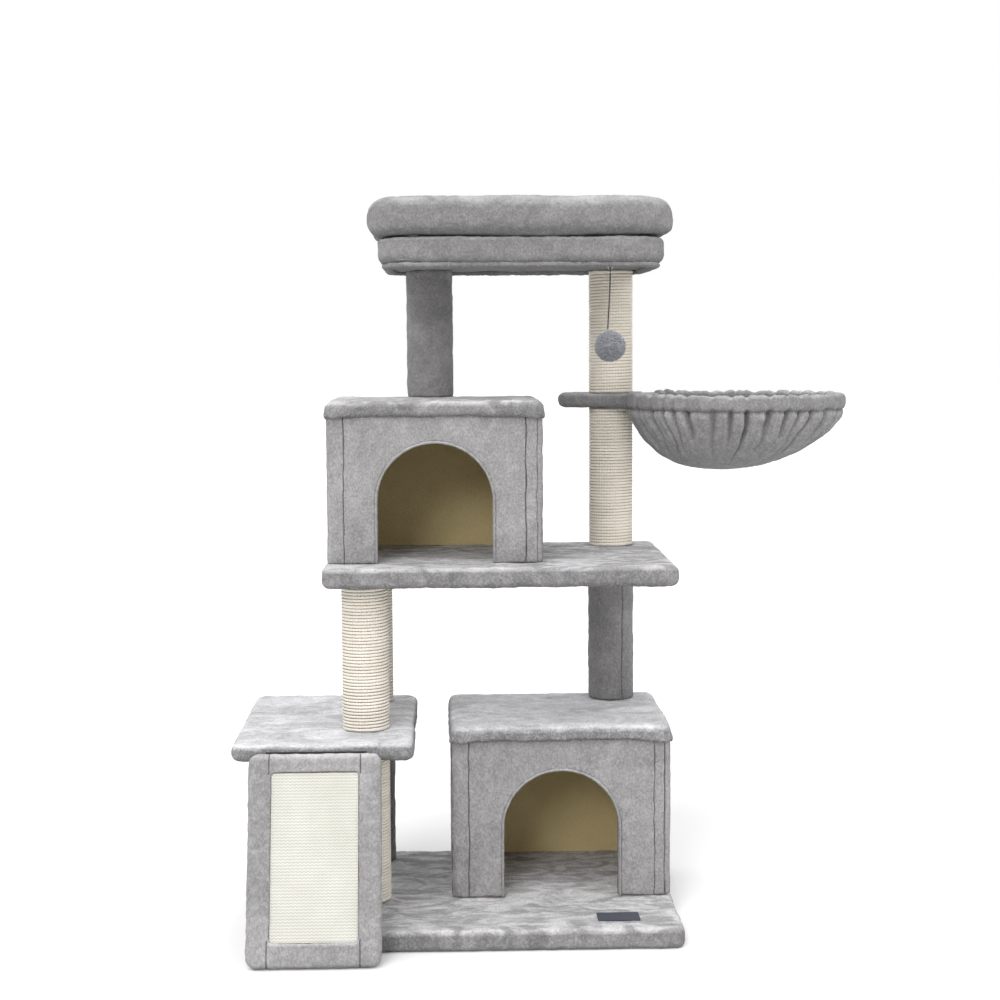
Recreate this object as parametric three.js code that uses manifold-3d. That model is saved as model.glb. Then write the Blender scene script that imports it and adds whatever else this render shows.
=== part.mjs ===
// A cat tree: two boxes with arched doors, three platforms, eight posts, a hammock on a hoop,
// a padded perch, a scratching ramp and a hanging toy.
// Millimetres. +X is the right, -Y the front, +Z up. The origin is the centre of the base's underside.

import * as THREE from "three";
import { mergeVertices } from "three/addons/utils/BufferGeometryUtils.js";
import Module from "manifold-3d";

const wasm = await Module();
wasm.setup();

// ---- Driving dimensions ----

const BASE_WIDTH = 610;
const BASE_DEPTH = 412;
const BASE_THICKNESS = 30;

// The space left between two pieces that touch.
const FIT = 0.3;
// How far a cut reaches past the face that it opens.
const CUT_PAST = 1;
// Plush with its backing, where it lies flat on a board.
const PLUSH = 5;
// Radii of a covered board: its corners seen from above, and its padded edge.
const BOARD_CORNER = 16;
const BOARD_EDGE = 9;
// A padded edge stays at least this far from the middle of its board's thickness.
const EDGE_FLAT = 1;

// Posts: a paper core with a plug in each end, under sisal rope or plush.
const CORE_RADIUS = 30;
const CORE_WALL = 4;
const PLUG_THICKNESS = 14;
const SISAL_THICKNESS = 4.7;
const POST_PLUSH_THICKNESS = 6;
const LOWER_POST_LENGTH = 229;
const MIDDLE_POST_LENGTH = 214;
const HAMMOCK_POST_LENGTH = 215;
const PERCH_POST_LENGTH = 189;

// Studs fixed in the tops of the posts, and the bolts that hold the lowest ones.
const STUD_RADIUS = 4;
const STUD_CLEARANCE = 0.5;
const STUD_GRIP = 10;
const BOLT_HEAD_RADIUS = 10;
const BOLT_HEAD_THICKNESS = 4;

// Post centres, from the edges of the base.
const LEFT_POSTS_FROM_LEFT = 162;
const FRONT_POST_FROM_BACK = 253;
const REAR_POST_FROM_BACK = 48;
const RIGHT_POST_FROM_RIGHT = 72;

// How far the platforms reach past the back of the base.
const BACK_OVERHANG = 5;

const LEFT_PLATFORM_WIDTH = 256;
const LEFT_PLATFORM_DEPTH = 369;
const LEFT_PLATFORM_THICKNESS = 25;
const LEFT_PLATFORM_PAST_POST = 71;

const MIDDLE_PLATFORM_DEPTH = 342;
const MIDDLE_PLATFORM_THICKNESS = 29;
const MIDDLE_PLATFORM_PAST_POST = 57;

// Boxes. A wall is a panel with a lining inside and a plush sleeve outside.
const PANEL_THICKNESS = 12;
const LINING_THICKNESS = 1.5;
const LINING_CORNER = 3;
const SLEEVE_CORNER = 12;
const ROOF_THICKNESS = 20;
const ROOF_SIDE_OVERHANG = 3;
const ROOF_FRONT_OVERHANG = 11;
const LOWER_CONDO_WIDTH = 322;
const LOWER_CONDO_DEPTH = 257;
const LOWER_CONDO_HEIGHT = 256;
const LOWER_DOOR_WIDTH = 171;
const LOWER_DOOR_HEIGHT = 189;
const LOWER_CONDO_FROM_BACK = 4;
const UPPER_CONDO_WIDTH = 310;
const UPPER_CONDO_DEPTH = 260;
const UPPER_CONDO_HEIGHT = 233;
const UPPER_DOOR_WIDTH = 168;
const UPPER_DOOR_HEIGHT = 173;
const UPPER_CONDO_FROM_BACK = 21;
// How far the boxes stand in from the right edge of the base and the left edge of the platform.
const LOWER_CONDO_INSET = 3;
const UPPER_CONDO_INSET = 5;
// The top post's middle, from the upper box's left and rear faces.
const TOP_POST_FROM_CONDO_LEFT = 148;
const TOP_POST_FROM_CONDO_REAR = 41;

// Hammock: a covered plate clamped between two posts, with a hoop let into its end. At rest it is
// turned this far towards the front.
const HAMMOCK_TURN = THREE.MathUtils.degToRad(25);
const PLATE_THICKNESS = 22;
const PLATE_END_RADIUS = 45;
const PLATE_HOOP_WIDTH = 118;
const PLATE_PAST_POST = 85;
const PLATE_EDGE = 8;
const HOOP_RADIUS = 155;
const HOOP_WIRE_RADIUS = 4;
const HOOP_POST_GAP = 1.5;
const BOWL_DEPTH = 91;
const BOWL_WALL = 6;
const BOWL_LEAN = 24;
// The wall has its full thickness from this far below the hem.
const BOWL_TAPER = 24;
const HEM_WIDTH = 17;
const HEM_ROUND = 4;

// Perch: a padded board with a bolster round its edge and a pad inside.
const PERCH_DEPTH = 306;
const PERCH_THICKNESS = 37;
const PERCH_BOARD_THICKNESS = 15;
const PERCH_CORNER = 60;
const PERCH_EDGE = 14;
const PERCH_PAST_TOP_POST = 72;
const PERCH_PAST_RIGHT_POST = 58;
const BOLSTER_OVERHANG = 17;
const BOLSTER_WIDTH = 66;
const BOLSTER_HEIGHT = 60;
const BOLSTER_ROUND = 26;
const BOLSTER_SMALLEST_CORNER = 6;
const PAD_THICKNESS = 18;
const PAD_CLEARANCE = 1;
const PAD_EDGE = 8;
const PAD_SMALLEST_CORNER = 12;

// Ramp: a covered panel with a woven mat, hinged to the left platform's front edge.
const RAMP_WIDTH = 184;
const RAMP_THICKNESS = 22;
const RAMP_CORNER = 14;
const RAMP_EDGE = 8;
const RAMP_FROM_PLATFORM_LEFT = 120;
const RAMP_HINGE_GAP = 4;
const RAMP_HINGE_DROP = 12;
const RAMP_FOOT_FROM_BASE = 44;
const MAT_WIDTH = 120;
const MAT_THICKNESS = 3;
const MAT_CORNER = 4;
const MAT_FROM_TOP = 27;
const MAT_FROM_BOTTOM = 33;
const HINGE_TAPE_WIDTH = 140;
const HINGE_TAPE_THICKNESS = 2;

// Toy: a pompom on a string, tied to an eye under the perch.
const POMPOM_RADIUS = 23;
const STRING_RADIUS = 1;
// The string's route below its loop, as [right, up]: it bows a little to one side.
const STRING_ROUTE = [
  [0, 0],
  [-0.05, -5],
  [-0.13, -10],
  [-0.25, -15],
  [-0.4, -20],
  [-0.6, -25],
  [-0.8, -30],
  [-1.05, -35],
  [-1.3, -40],
  [-1.57, -45],
  [-1.85, -50],
  [-2.12, -55],
  [-2.4, -60],
  [-2.67, -65],
  [-2.95, -70],
  [-3.22, -75],
  [-3.5, -80],
];
const EYE_RADIUS = 3;
const EYE_WIRE_RADIUS = 0.8;
const TOY_FROM_RIGHT_POST = 21;
const TOY_FROM_PERCH_FRONT = 40;

// Woven label on the base.
const TAG_WIDTH = 60;
const TAG_DEPTH = 36;
const TAG_THICKNESS = 1.2;
const TAG_CORNER = 2;
const TAG_FROM_RIGHT = 90;
const TAG_FROM_FRONT = 54;

// Fineness of round shapes.
const CORNER_SEGMENTS = 3;
const EDGE_SEGMENTS = 2;
const POST_SEGMENTS = 18;
const HOLE_SEGMENTS = 8;
const WIRE_SEGMENTS = 6;
const EYE_SEGMENTS = 12;
const ARCH_SEGMENTS = 12;
const BOWL_SEGMENTS = 28;
const STRING_SEGMENTS = 4;
const STRING_STEPS = 32;
const POMPOM_DETAIL = 3;

// ---- Places worked out from the sizes ----

const back = BASE_DEPTH / 2;
const right = BASE_WIDTH / 2;
const boardInset = PLUSH + FIT;
const boreRadius = STUD_RADIUS + STUD_CLEARANCE;

const baseTop = BASE_THICKNESS;
const leftPlatformBottom = baseTop + LOWER_POST_LENGTH;
const leftPlatformTop = leftPlatformBottom + LEFT_PLATFORM_THICKNESS;
const middlePlatformBottom = leftPlatformTop + MIDDLE_POST_LENGTH;
const middlePlatformTop = middlePlatformBottom + MIDDLE_PLATFORM_THICKNESS;
const lowerCondoTop = baseTop + LOWER_CONDO_HEIGHT;
const upperCondoTop = middlePlatformTop + UPPER_CONDO_HEIGHT;
const plateBottom = middlePlatformTop + HAMMOCK_POST_LENGTH;
const plateTop = plateBottom + PLATE_THICKNESS;
const perchBottom = plateTop + PERCH_POST_LENGTH;
const perchTop = perchBottom + PERCH_THICKNESS;

const leftPostX = LEFT_POSTS_FROM_LEFT - right;
const leftFrontPost = new THREE.Vector2(leftPostX, back - FRONT_POST_FROM_BACK);
const leftRearPost = new THREE.Vector2(leftPostX, back - REAR_POST_FROM_BACK);
const rightPost = new THREE.Vector2(right - RIGHT_POST_FROM_RIGHT, back - REAR_POST_FROM_BACK);

const leftPlatform = new THREE.Vector2(
  leftPostX + LEFT_PLATFORM_PAST_POST - LEFT_PLATFORM_WIDTH / 2,
  back + BACK_OVERHANG - LEFT_PLATFORM_DEPTH / 2,
);
const leftPlatformFront = leftPlatform.y - LEFT_PLATFORM_DEPTH / 2;

const middlePlatformLeft = leftPostX - MIDDLE_PLATFORM_PAST_POST;
const middlePlatformWidth = right - middlePlatformLeft;
const middlePlatform = new THREE.Vector2(
  (middlePlatformLeft + right) / 2,
  back + BACK_OVERHANG - MIDDLE_PLATFORM_DEPTH / 2,
);

const lowerCondo = new THREE.Vector2(
  right - LOWER_CONDO_INSET - LOWER_CONDO_WIDTH / 2,
  back - LOWER_CONDO_FROM_BACK - LOWER_CONDO_DEPTH / 2,
);
const upperCondo = new THREE.Vector2(
  middlePlatformLeft + UPPER_CONDO_INSET + UPPER_CONDO_WIDTH / 2,
  back - UPPER_CONDO_FROM_BACK - UPPER_CONDO_DEPTH / 2,
);
const topPost = new THREE.Vector2(
  upperCondo.x - UPPER_CONDO_WIDTH / 2 + TOP_POST_FROM_CONDO_LEFT,
  upperCondo.y + UPPER_CONDO_DEPTH / 2 - TOP_POST_FROM_CONDO_REAR,
);

const perchLeft = topPost.x - PERCH_PAST_TOP_POST;
const perchRight = rightPost.x + PERCH_PAST_RIGHT_POST;
const perchWidth = perchRight - perchLeft;
const perch = new THREE.Vector2((perchLeft + perchRight) / 2, back - PERCH_DEPTH / 2);

// The hoop's centre, from the middle of the right post.
const hoopX = CORE_RADIUS + SISAL_THICKNESS + HOOP_POST_GAP + HEM_WIDTH / 2 + HOOP_RADIUS;

const toy = new THREE.Vector2(
  rightPost.x - TOY_FROM_RIGHT_POST,
  perch.y - PERCH_DEPTH / 2 + TOY_FROM_PERCH_FRONT,
);

// ---- Materials ----

const FINISHES = {
  plush: { color: 0xa3a2a4, roughness: 0.95, metalness: 0 },
  sisal: { color: 0xe3dbc4, roughness: 0.9, metalness: 0 },
  lining: { color: 0x8f8662, roughness: 0.9, metalness: 0 },
  board: { color: 0xb89b72, roughness: 0.8, metalness: 0 },
  paper: { color: 0xa58a63, roughness: 0.9, metalness: 0 },
  steel: { color: 0x9a9da0, roughness: 0.35, metalness: 0.9 },
  cord: { color: 0x1c1b1d, roughness: 0.8, metalness: 0 },
  label: { color: 0x1b2130, roughness: 0.7, metalness: 0 },
};

const catTree = new THREE.Group();
catTree.name = "cat_tree";

// ---- Shapes ----

// A closed geometry as a manifold-3d solid, for joins and cuts.
function solid(geometry) {
  const bare = geometry.clone();
  bare.deleteAttribute("normal");
  bare.deleteAttribute("uv");
  const merged = mergeVertices(bare, 1e-4);
  return new wasm.Manifold(
    new wasm.Mesh({
      numProp: 3,
      vertProperties: merged.attributes.position.array,
      triVerts: new Uint32Array(merged.index.array),
    }),
  );
}

// A solid or a geometry as a named mesh in a group.
function addMesh(group, name, shape, finish) {
  let geometry = shape;
  if (!shape.isBufferGeometry) {
    const { vertProperties, triVerts } = shape.getMesh();
    geometry = new THREE.BufferGeometry();
    geometry.setAttribute("position", new THREE.BufferAttribute(vertProperties, 3));
    geometry.setIndex(new THREE.BufferAttribute(triVerts, 1));
    geometry.computeVertexNormals();
  }
  const mesh = new THREE.Mesh(geometry, new THREE.MeshStandardMaterial(FINISHES[finish]));
  mesh.name = name;
  group.add(mesh);
  return mesh;
}

function roundedRectangle(width, depth, radius, Outline = THREE.Shape) {
  const x = width / 2 - radius;
  const y = depth / 2 - radius;
  const outline = new Outline();
  outline.absarc(x, -y, radius, -Math.PI / 2, 0);
  outline.absarc(x, y, radius, 0, Math.PI / 2);
  outline.absarc(-x, y, radius, Math.PI / 2, Math.PI);
  outline.absarc(-x, -y, radius, Math.PI, 1.5 * Math.PI);
  outline.closePath();
  return outline;
}

// An outline drawn up from z = 0, with its edges rounded when edgeRadius is over zero.
// The outline is then drawn smaller by that radius, which the rounding gives back.
function raised(outline, thickness, edgeRadius = 0) {
  return new THREE.ExtrudeGeometry(outline, {
    depth: thickness - 2 * edgeRadius,
    bevelEnabled: edgeRadius > 0,
    bevelSize: edgeRadius,
    bevelThickness: edgeRadius,
    bevelSegments: EDGE_SEGMENTS,
    curveSegments: CORNER_SEGMENTS,
  }).translate(0, 0, edgeRadius);
}

function paddedSlab(width, depth, thickness, cornerRadius, edgeRadius) {
  const outline = roundedRectangle(
    width - 2 * edgeRadius,
    depth - 2 * edgeRadius,
    cornerRadius - edgeRadius,
  );
  return raised(outline, thickness, edgeRadius);
}

function block(width, depth, height, x = 0, y = 0, z = 0) {
  return new THREE.BoxGeometry(width, depth, height).translate(x, y, z + height / 2);
}

function rod(radius, bottom, top, x = 0, y = 0, segments = HOLE_SEGMENTS) {
  return new THREE.CylinderGeometry(radius, radius, top - bottom, segments)
    .rotateX(Math.PI / 2)
    .translate(x, y, (bottom + top) / 2);
}

// A shape turned about the Z axis from a list of [radius, height] points.
function turned(profile, segments) {
  const points = profile.map(([radius, height]) => new THREE.Vector2(radius, height));
  return new THREE.LatheGeometry(points, segments).rotateX(Math.PI / 2);
}

// ---- Covered boards ----

// A board in a plush envelope that stands on z = 0. Each bore is { x, y, bottom, top, radius }, measured
// from the envelope's centre and underside, and goes through whatever lies between its two heights.
function coveredBoard(name, size, bores) {
  const group = new THREE.Group();
  const { width, depth, thickness, corner = BOARD_CORNER } = size;
  const edge = Math.min(size.edge ?? BOARD_EDGE, thickness / 2 - EDGE_FLAT);
  const boardThickness = size.board ?? thickness - 2 * boardInset;
  const boardCorner = corner - boardInset;
  let board = solid(
    raised(
      roundedRectangle(width - 2 * boardInset, depth - 2 * boardInset, boardCorner),
      boardThickness,
    ).translate(0, 0, boardInset),
  );
  const pocket = solid(
    raised(
      roundedRectangle(width - 2 * PLUSH, depth - 2 * PLUSH, boardCorner + FIT),
      boardThickness + 2 * FIT,
    ).translate(0, 0, PLUSH),
  );
  let cover = solid(paddedSlab(width, depth, thickness, corner, edge)).subtract(pocket);
  for (const { x, y, bottom, top, radius = boreRadius } of bores) {
    const hole = solid(rod(radius, bottom, top, x, y));
    board = board.subtract(hole);
    cover = cover.subtract(hole);
  }
  addMesh(group, `${name}_board`, board, "board");
  addMesh(group, `${name}_cover`, cover, "plush");
  return group;
}

// A bore all the way through a board of the given thickness, at a post's place.
function throughBore(post, centre, thickness) {
  return {
    x: post.x - centre.x,
    y: post.y - centre.y,
    bottom: -CUT_PAST,
    top: thickness + CUT_PAST,
  };
}

// A bore for a stud that ends inside the board.
function blindBore(post, centre) {
  const depth = boardInset + STUD_GRIP + STUD_CLEARANCE;
  return { x: post.x - centre.x, y: post.y - centre.y, bottom: -CUT_PAST, top: depth };
}

// ---- Base ----

// The base's bolts go in from below, their heads sunk in the board.
const boltRecess = boardInset + BOLT_HEAD_THICKNESS + 2 * FIT;

function addBase() {
  const bores = [];
  for (const post of [leftFrontPost, leftRearPost]) {
    const { x, y } = post;
    bores.push({ x, y, bottom: -CUT_PAST, top: BASE_THICKNESS + CUT_PAST });
    bores.push({
      x,
      y,
      bottom: -CUT_PAST,
      top: boltRecess,
      radius: BOLT_HEAD_RADIUS + STUD_CLEARANCE,
    });
  }
  catTree.add(
    coveredBoard(
      "base",
      { width: BASE_WIDTH, depth: BASE_DEPTH, thickness: BASE_THICKNESS },
      bores,
    ),
  );
  const tag = addMesh(
    catTree,
    "base_tag",
    raised(roundedRectangle(TAG_WIDTH, TAG_DEPTH, TAG_CORNER), TAG_THICKNESS),
    "label",
  );
  tag.position.set(right - TAG_FROM_RIGHT, TAG_FROM_FRONT - back, baseTop + FIT);
}

// ---- Platforms ----

function addPlatforms() {
  const left = coveredBoard(
    "left_platform",
    { width: LEFT_PLATFORM_WIDTH, depth: LEFT_PLATFORM_DEPTH, thickness: LEFT_PLATFORM_THICKNESS },
    [leftFrontPost, leftRearPost].map((post) =>
      throughBore(post, leftPlatform, LEFT_PLATFORM_THICKNESS),
    ),
  );
  left.position.set(leftPlatform.x, leftPlatform.y, leftPlatformBottom);
  const middle = coveredBoard(
    "middle_platform",
    { width: middlePlatformWidth, depth: MIDDLE_PLATFORM_DEPTH, thickness: MIDDLE_PLATFORM_THICKNESS },
    [
      blindBore(leftFrontPost, middlePlatform),
      blindBore(leftRearPost, middlePlatform),
      throughBore(rightPost, middlePlatform, MIDDLE_PLATFORM_THICKNESS),
    ],
  );
  middle.position.set(middlePlatform.x, middlePlatform.y, middlePlatformBottom);
  catTree.add(left, middle);
}

// ---- Posts ----

// A post from one surface to the next, with a stud that stands out of its top by studLength.
function addPost(name, place, bottom, top, wrap, studLength) {
  const group = new THREE.Group();
  group.position.set(place.x, place.y, bottom + FIT);
  const height = top - bottom - 2 * FIT;
  const hollow = CORE_RADIUS - CORE_WALL;
  const core = turned(
    [
      [0, height - PLUG_THICKNESS],
      [hollow, height - PLUG_THICKNESS],
      [hollow, PLUG_THICKNESS],
      [boreRadius, PLUG_THICKNESS],
      [boreRadius, 0],
      [CORE_RADIUS, 0],
      [CORE_RADIUS, height],
      [STUD_RADIUS, height],
      [STUD_RADIUS, height + studLength],
      [0, height + studLength],
    ],
    POST_SEGMENTS,
  );
  addMesh(group, `${name}_core`, core, "paper");
  const wrapThickness = wrap === "sisal" ? SISAL_THICKNESS : POST_PLUSH_THICKNESS;
  const inside = CORE_RADIUS + FIT;
  const outside = CORE_RADIUS + wrapThickness;
  const sleeve = turned(
    [
      [inside, 0],
      [outside, 0],
      [outside, height],
      [inside, height],
      [inside, 0],
    ],
    POST_SEGMENTS,
  );
  addMesh(group, `${name}_${wrap}`, sleeve, wrap);
  catTree.add(group);
}

function addBolt(name, place, headBottom, shankTop) {
  const shankLength = shankTop - headBottom;
  const bolt = turned(
    [
      [0, 0],
      [BOLT_HEAD_RADIUS, 0],
      [BOLT_HEAD_RADIUS, BOLT_HEAD_THICKNESS],
      [STUD_RADIUS, BOLT_HEAD_THICKNESS],
      [STUD_RADIUS, shankLength],
      [0, shankLength],
    ],
    HOLE_SEGMENTS,
  );
  addMesh(catTree, name, bolt, "steel").position.set(place.x, place.y, headBottom);
}

function addPosts() {
  const throughLeft = LEFT_PLATFORM_THICKNESS + 2 * FIT + STUD_GRIP;
  const throughMiddle = MIDDLE_PLATFORM_THICKNESS + 2 * FIT + STUD_GRIP;
  const throughPlate = PLATE_THICKNESS + 2 * FIT + STUD_GRIP;
  const intoBoard = boardInset + STUD_GRIP;

  for (const [side, place, wrap] of [
    ["left_front", leftFrontPost, "sisal"],
    ["left_rear", leftRearPost, "plush"],
  ]) {
    addPost(`${side}_lower_post`, place, baseTop, leftPlatformBottom, wrap, throughLeft);
    addPost(
      `${side}_upper_post`,
      place,
      leftPlatformTop,
      middlePlatformBottom,
      "sisal",
      intoBoard,
    );
    addBolt(`${side}_bolt`, place, boardInset + FIT, baseTop + STUD_GRIP);
  }

  addPost(
    "right_lower_post",
    rightPost,
    lowerCondoTop,
    middlePlatformBottom,
    "plush",
    throughMiddle,
  );
  addPost("right_middle_post", rightPost, middlePlatformTop, plateBottom, "sisal", throughPlate);
  addPost("right_upper_post", rightPost, plateTop, perchBottom, "sisal", intoBoard);
  addPost("top_left_post", topPost, upperCondoTop, perchBottom, "plush", intoBoard);

  // Bolts up through the boxes' roofs, with their heads inside.
  const headDrop = ROOF_THICKNESS + FIT + BOLT_HEAD_THICKNESS;
  addBolt("right_bolt", rightPost, lowerCondoTop - headDrop, lowerCondoTop + STUD_GRIP);
  addBolt("top_left_bolt", topPost, upperCondoTop - headDrop, upperCondoTop + STUD_GRIP);
}

// ---- Boxes ----

// The door's opening as a solid that starts at the given front and goes back by reach: straight sides
// under a half-round arch, larger all round by grow.
function doorway(width, height, grow, front, reach) {
  const radius = width / 2 + grow;
  const spring = height - width / 2;
  const outline = new THREE.Shape();
  outline.moveTo(-radius, -CUT_PAST);
  outline.lineTo(radius, -CUT_PAST);
  outline.absarc(0, spring, radius, 0, Math.PI);
  outline.closePath();
  return solid(
    new THREE.ExtrudeGeometry(outline, {
      depth: reach,
      bevelEnabled: false,
      curveSegments: ARCH_SEGMENTS,
    })
      .rotateX(Math.PI / 2)
      .translate(0, front + reach, 0),
  );
}

// A square-cornered box's wrapping, rounded on its outside, standing on z = 0.
function wallRing(width, depth, height, corner, thickness) {
  const outline = roundedRectangle(width, depth, corner);
  outline.holes.push(
    roundedRectangle(
      width - 2 * thickness,
      depth - 2 * thickness,
      FIT,
      THREE.Path,
    ),
  );
  return solid(raised(outline, height));
}

function addCondo(name, place, bottom, size, postOnRoof) {
  const { width, depth, height, doorWidth, doorHeight } = size;
  const group = new THREE.Group();
  group.position.set(place.x, place.y, bottom + FIT);
  const wallHeight = height - ROOF_THICKNESS - 2 * FIT;
  const front = -depth / 2;

  const sleeve = wallRing(width, depth, wallHeight, SLEEVE_CORNER, PLUSH).subtract(
    doorway(doorWidth, doorHeight, 0, front - CUT_PAST, PLUSH + 2 * CUT_PAST),
  );
  addMesh(group, `${name}_sleeve`, sleeve, "plush");

  // Side panels run the full depth, and the front and back panels stand between them.
  const boxWidth = width - 2 * boardInset;
  const boxDepth = depth - 2 * boardInset;
  const innerWidth = boxWidth - 2 * PANEL_THICKNESS;
  const sideX = (boxWidth - PANEL_THICKNESS) / 2;
  const frontY = (boxDepth - PANEL_THICKNESS) / 2;
  for (const [side, sign] of [
    ["left", -1],
    ["right", 1],
  ]) {
    const panel = block(PANEL_THICKNESS, boxDepth, wallHeight, sign * sideX);
    addMesh(group, `${name}_${side}_panel`, panel, "board");
  }
  const acrossWidth = innerWidth - 2 * FIT;
  const frontPanel = solid(block(acrossWidth, PANEL_THICKNESS, wallHeight, 0, -frontY)).subtract(
    doorway(doorWidth, doorHeight, FIT, front, PLUSH + PANEL_THICKNESS + 2 * CUT_PAST),
  );
  addMesh(group, `${name}_front_panel`, frontPanel, "board");
  const backPanel = block(acrossWidth, PANEL_THICKNESS, wallHeight, 0, frontY);
  addMesh(group, `${name}_back_panel`, backPanel, "board");

  const liningWidth = innerWidth - 2 * FIT;
  const liningDepth = boxDepth - 2 * PANEL_THICKNESS - 2 * FIT;
  const liningFront = -liningDepth / 2 - CUT_PAST;
  const lining = wallRing(
    liningWidth,
    liningDepth,
    wallHeight,
    LINING_CORNER,
    LINING_THICKNESS,
  ).subtract(
    doorway(doorWidth, doorHeight, FIT, liningFront, LINING_THICKNESS + 2 * CUT_PAST),
  );
  addMesh(group, `${name}_lining`, lining, "lining");
  catTree.add(group);

  const roofCentre = new THREE.Vector2(place.x, place.y - ROOF_FRONT_OVERHANG / 2);
  const roof = coveredBoard(
    `${name}_roof`,
    {
      width: width + 2 * ROOF_SIDE_OVERHANG,
      depth: depth + ROOF_FRONT_OVERHANG,
      thickness: ROOF_THICKNESS,
    },
    [throughBore(postOnRoof, roofCentre, ROOF_THICKNESS)],
  );
  roof.position.set(roofCentre.x, roofCentre.y, bottom + height - ROOF_THICKNESS);
  catTree.add(roof);
}

function addCondos() {
  addCondo(
    "lower_condo",
    lowerCondo,
    baseTop,
    {
      width: LOWER_CONDO_WIDTH,
      depth: LOWER_CONDO_DEPTH,
      height: LOWER_CONDO_HEIGHT,
      doorWidth: LOWER_DOOR_WIDTH,
      doorHeight: LOWER_DOOR_HEIGHT,
    },
    rightPost,
  );
  addCondo(
    "upper_condo",
    upperCondo,
    middlePlatformTop,
    {
      width: UPPER_CONDO_WIDTH,
      depth: UPPER_CONDO_DEPTH,
      height: UPPER_CONDO_HEIGHT,
      doorWidth: UPPER_DOOR_WIDTH,
      doorHeight: UPPER_DOOR_HEIGHT,
    },
    topPost,
  );
}

// ---- Hammock ----

// Drawn with the post's middle at the origin, the hoop along +X, and the plate's underside on z = 0.

// The plate seen from above: a tongue with a round end behind the post, that widens to the hoop.
const plateEndX = PLATE_END_RADIUS - PLATE_PAST_POST;
const plateHoopX = hoopX - HOOP_RADIUS + HEM_WIDTH;

function plateOutline(inset) {
  const endRadius = PLATE_END_RADIUS - inset;
  const half = PLATE_HOOP_WIDTH / 2 - inset;
  const outline = new THREE.Shape();
  outline.moveTo(plateHoopX - inset, half);
  outline.lineTo(plateEndX, endRadius);
  outline.absarc(plateEndX, 0, endRadius, Math.PI / 2, 1.5 * Math.PI);
  outline.lineTo(plateHoopX - inset, -half);
  outline.closePath();
  return outline;
}

// A ring about the Z axis with a round section, centred on z = 0.
function roundRing(radius, sectionRadius, sectionSegments, ringSegments) {
  return new THREE.TorusGeometry(radius, sectionRadius, sectionSegments, ringSegments);
}

// A flat ring between two radii, standing on z = 0.
function flatRing(innerRadius, outerRadius, height) {
  const outline = new THREE.Shape();
  outline.absarc(0, 0, outerRadius, 0, 2 * Math.PI);
  const hole = new THREE.Path();
  hole.absarc(0, 0, innerRadius, 0, 2 * Math.PI);
  outline.holes.push(hole);
  return new THREE.ExtrudeGeometry(outline, {
    depth: height,
    bevelEnabled: false,
    curveSegments: BOWL_SEGMENTS,
  });
}

// The bowl's outside below the hem, as [share of the depth, share of the radius].
const BOWL_OUTSIDE = [
  [0, 1],
  [0.15, 0.97],
  [0.3, 0.91],
  [0.45, 0.84],
  [0.6, 0.75],
  [0.75, 0.64],
  [0.87, 0.5],
  [0.95, 0.36],
  [1, 0.2],
];

function bowlSolid() {
  const rim = HOOP_RADIUS + HEM_WIDTH / 2;
  const hemInside = HOOP_RADIUS - HEM_WIDTH / 2;
  const below = BOWL_OUTSIDE.map(([down, out]) => [rim * out, -BOWL_DEPTH * down]);
  const inside = below
    .filter(([, height]) => height < -BOWL_TAPER)
    .map(([radius, height]) => [Math.max(radius - BOWL_WALL, 1), height + BOWL_WALL]);
  const geometry = turned(
    [
      [0, -BOWL_DEPTH],
      ...below.reverse(),
      [rim, PLATE_THICKNESS - HEM_ROUND],
      [rim - HEM_ROUND, PLATE_THICKNESS],
      [hemInside + HEM_ROUND, PLATE_THICKNESS],
      [hemInside, PLATE_THICKNESS - HEM_ROUND],
      [hemInside, -BOWL_WALL],
      ...inside,
      [0, BOWL_WALL - BOWL_DEPTH],
    ],
    BOWL_SEGMENTS,
  );
  // The floor hangs a little towards the post.
  const position = geometry.attributes.position;
  for (let i = 0; i < position.count; i += 1) {
    const sunk = Math.max(-position.getZ(i) / BOWL_DEPTH, 0);
    position.setX(i, position.getX(i) - BOWL_LEAN * sunk * sunk);
  }
  return solid(geometry.translate(hoopX, 0, 0));
}

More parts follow.
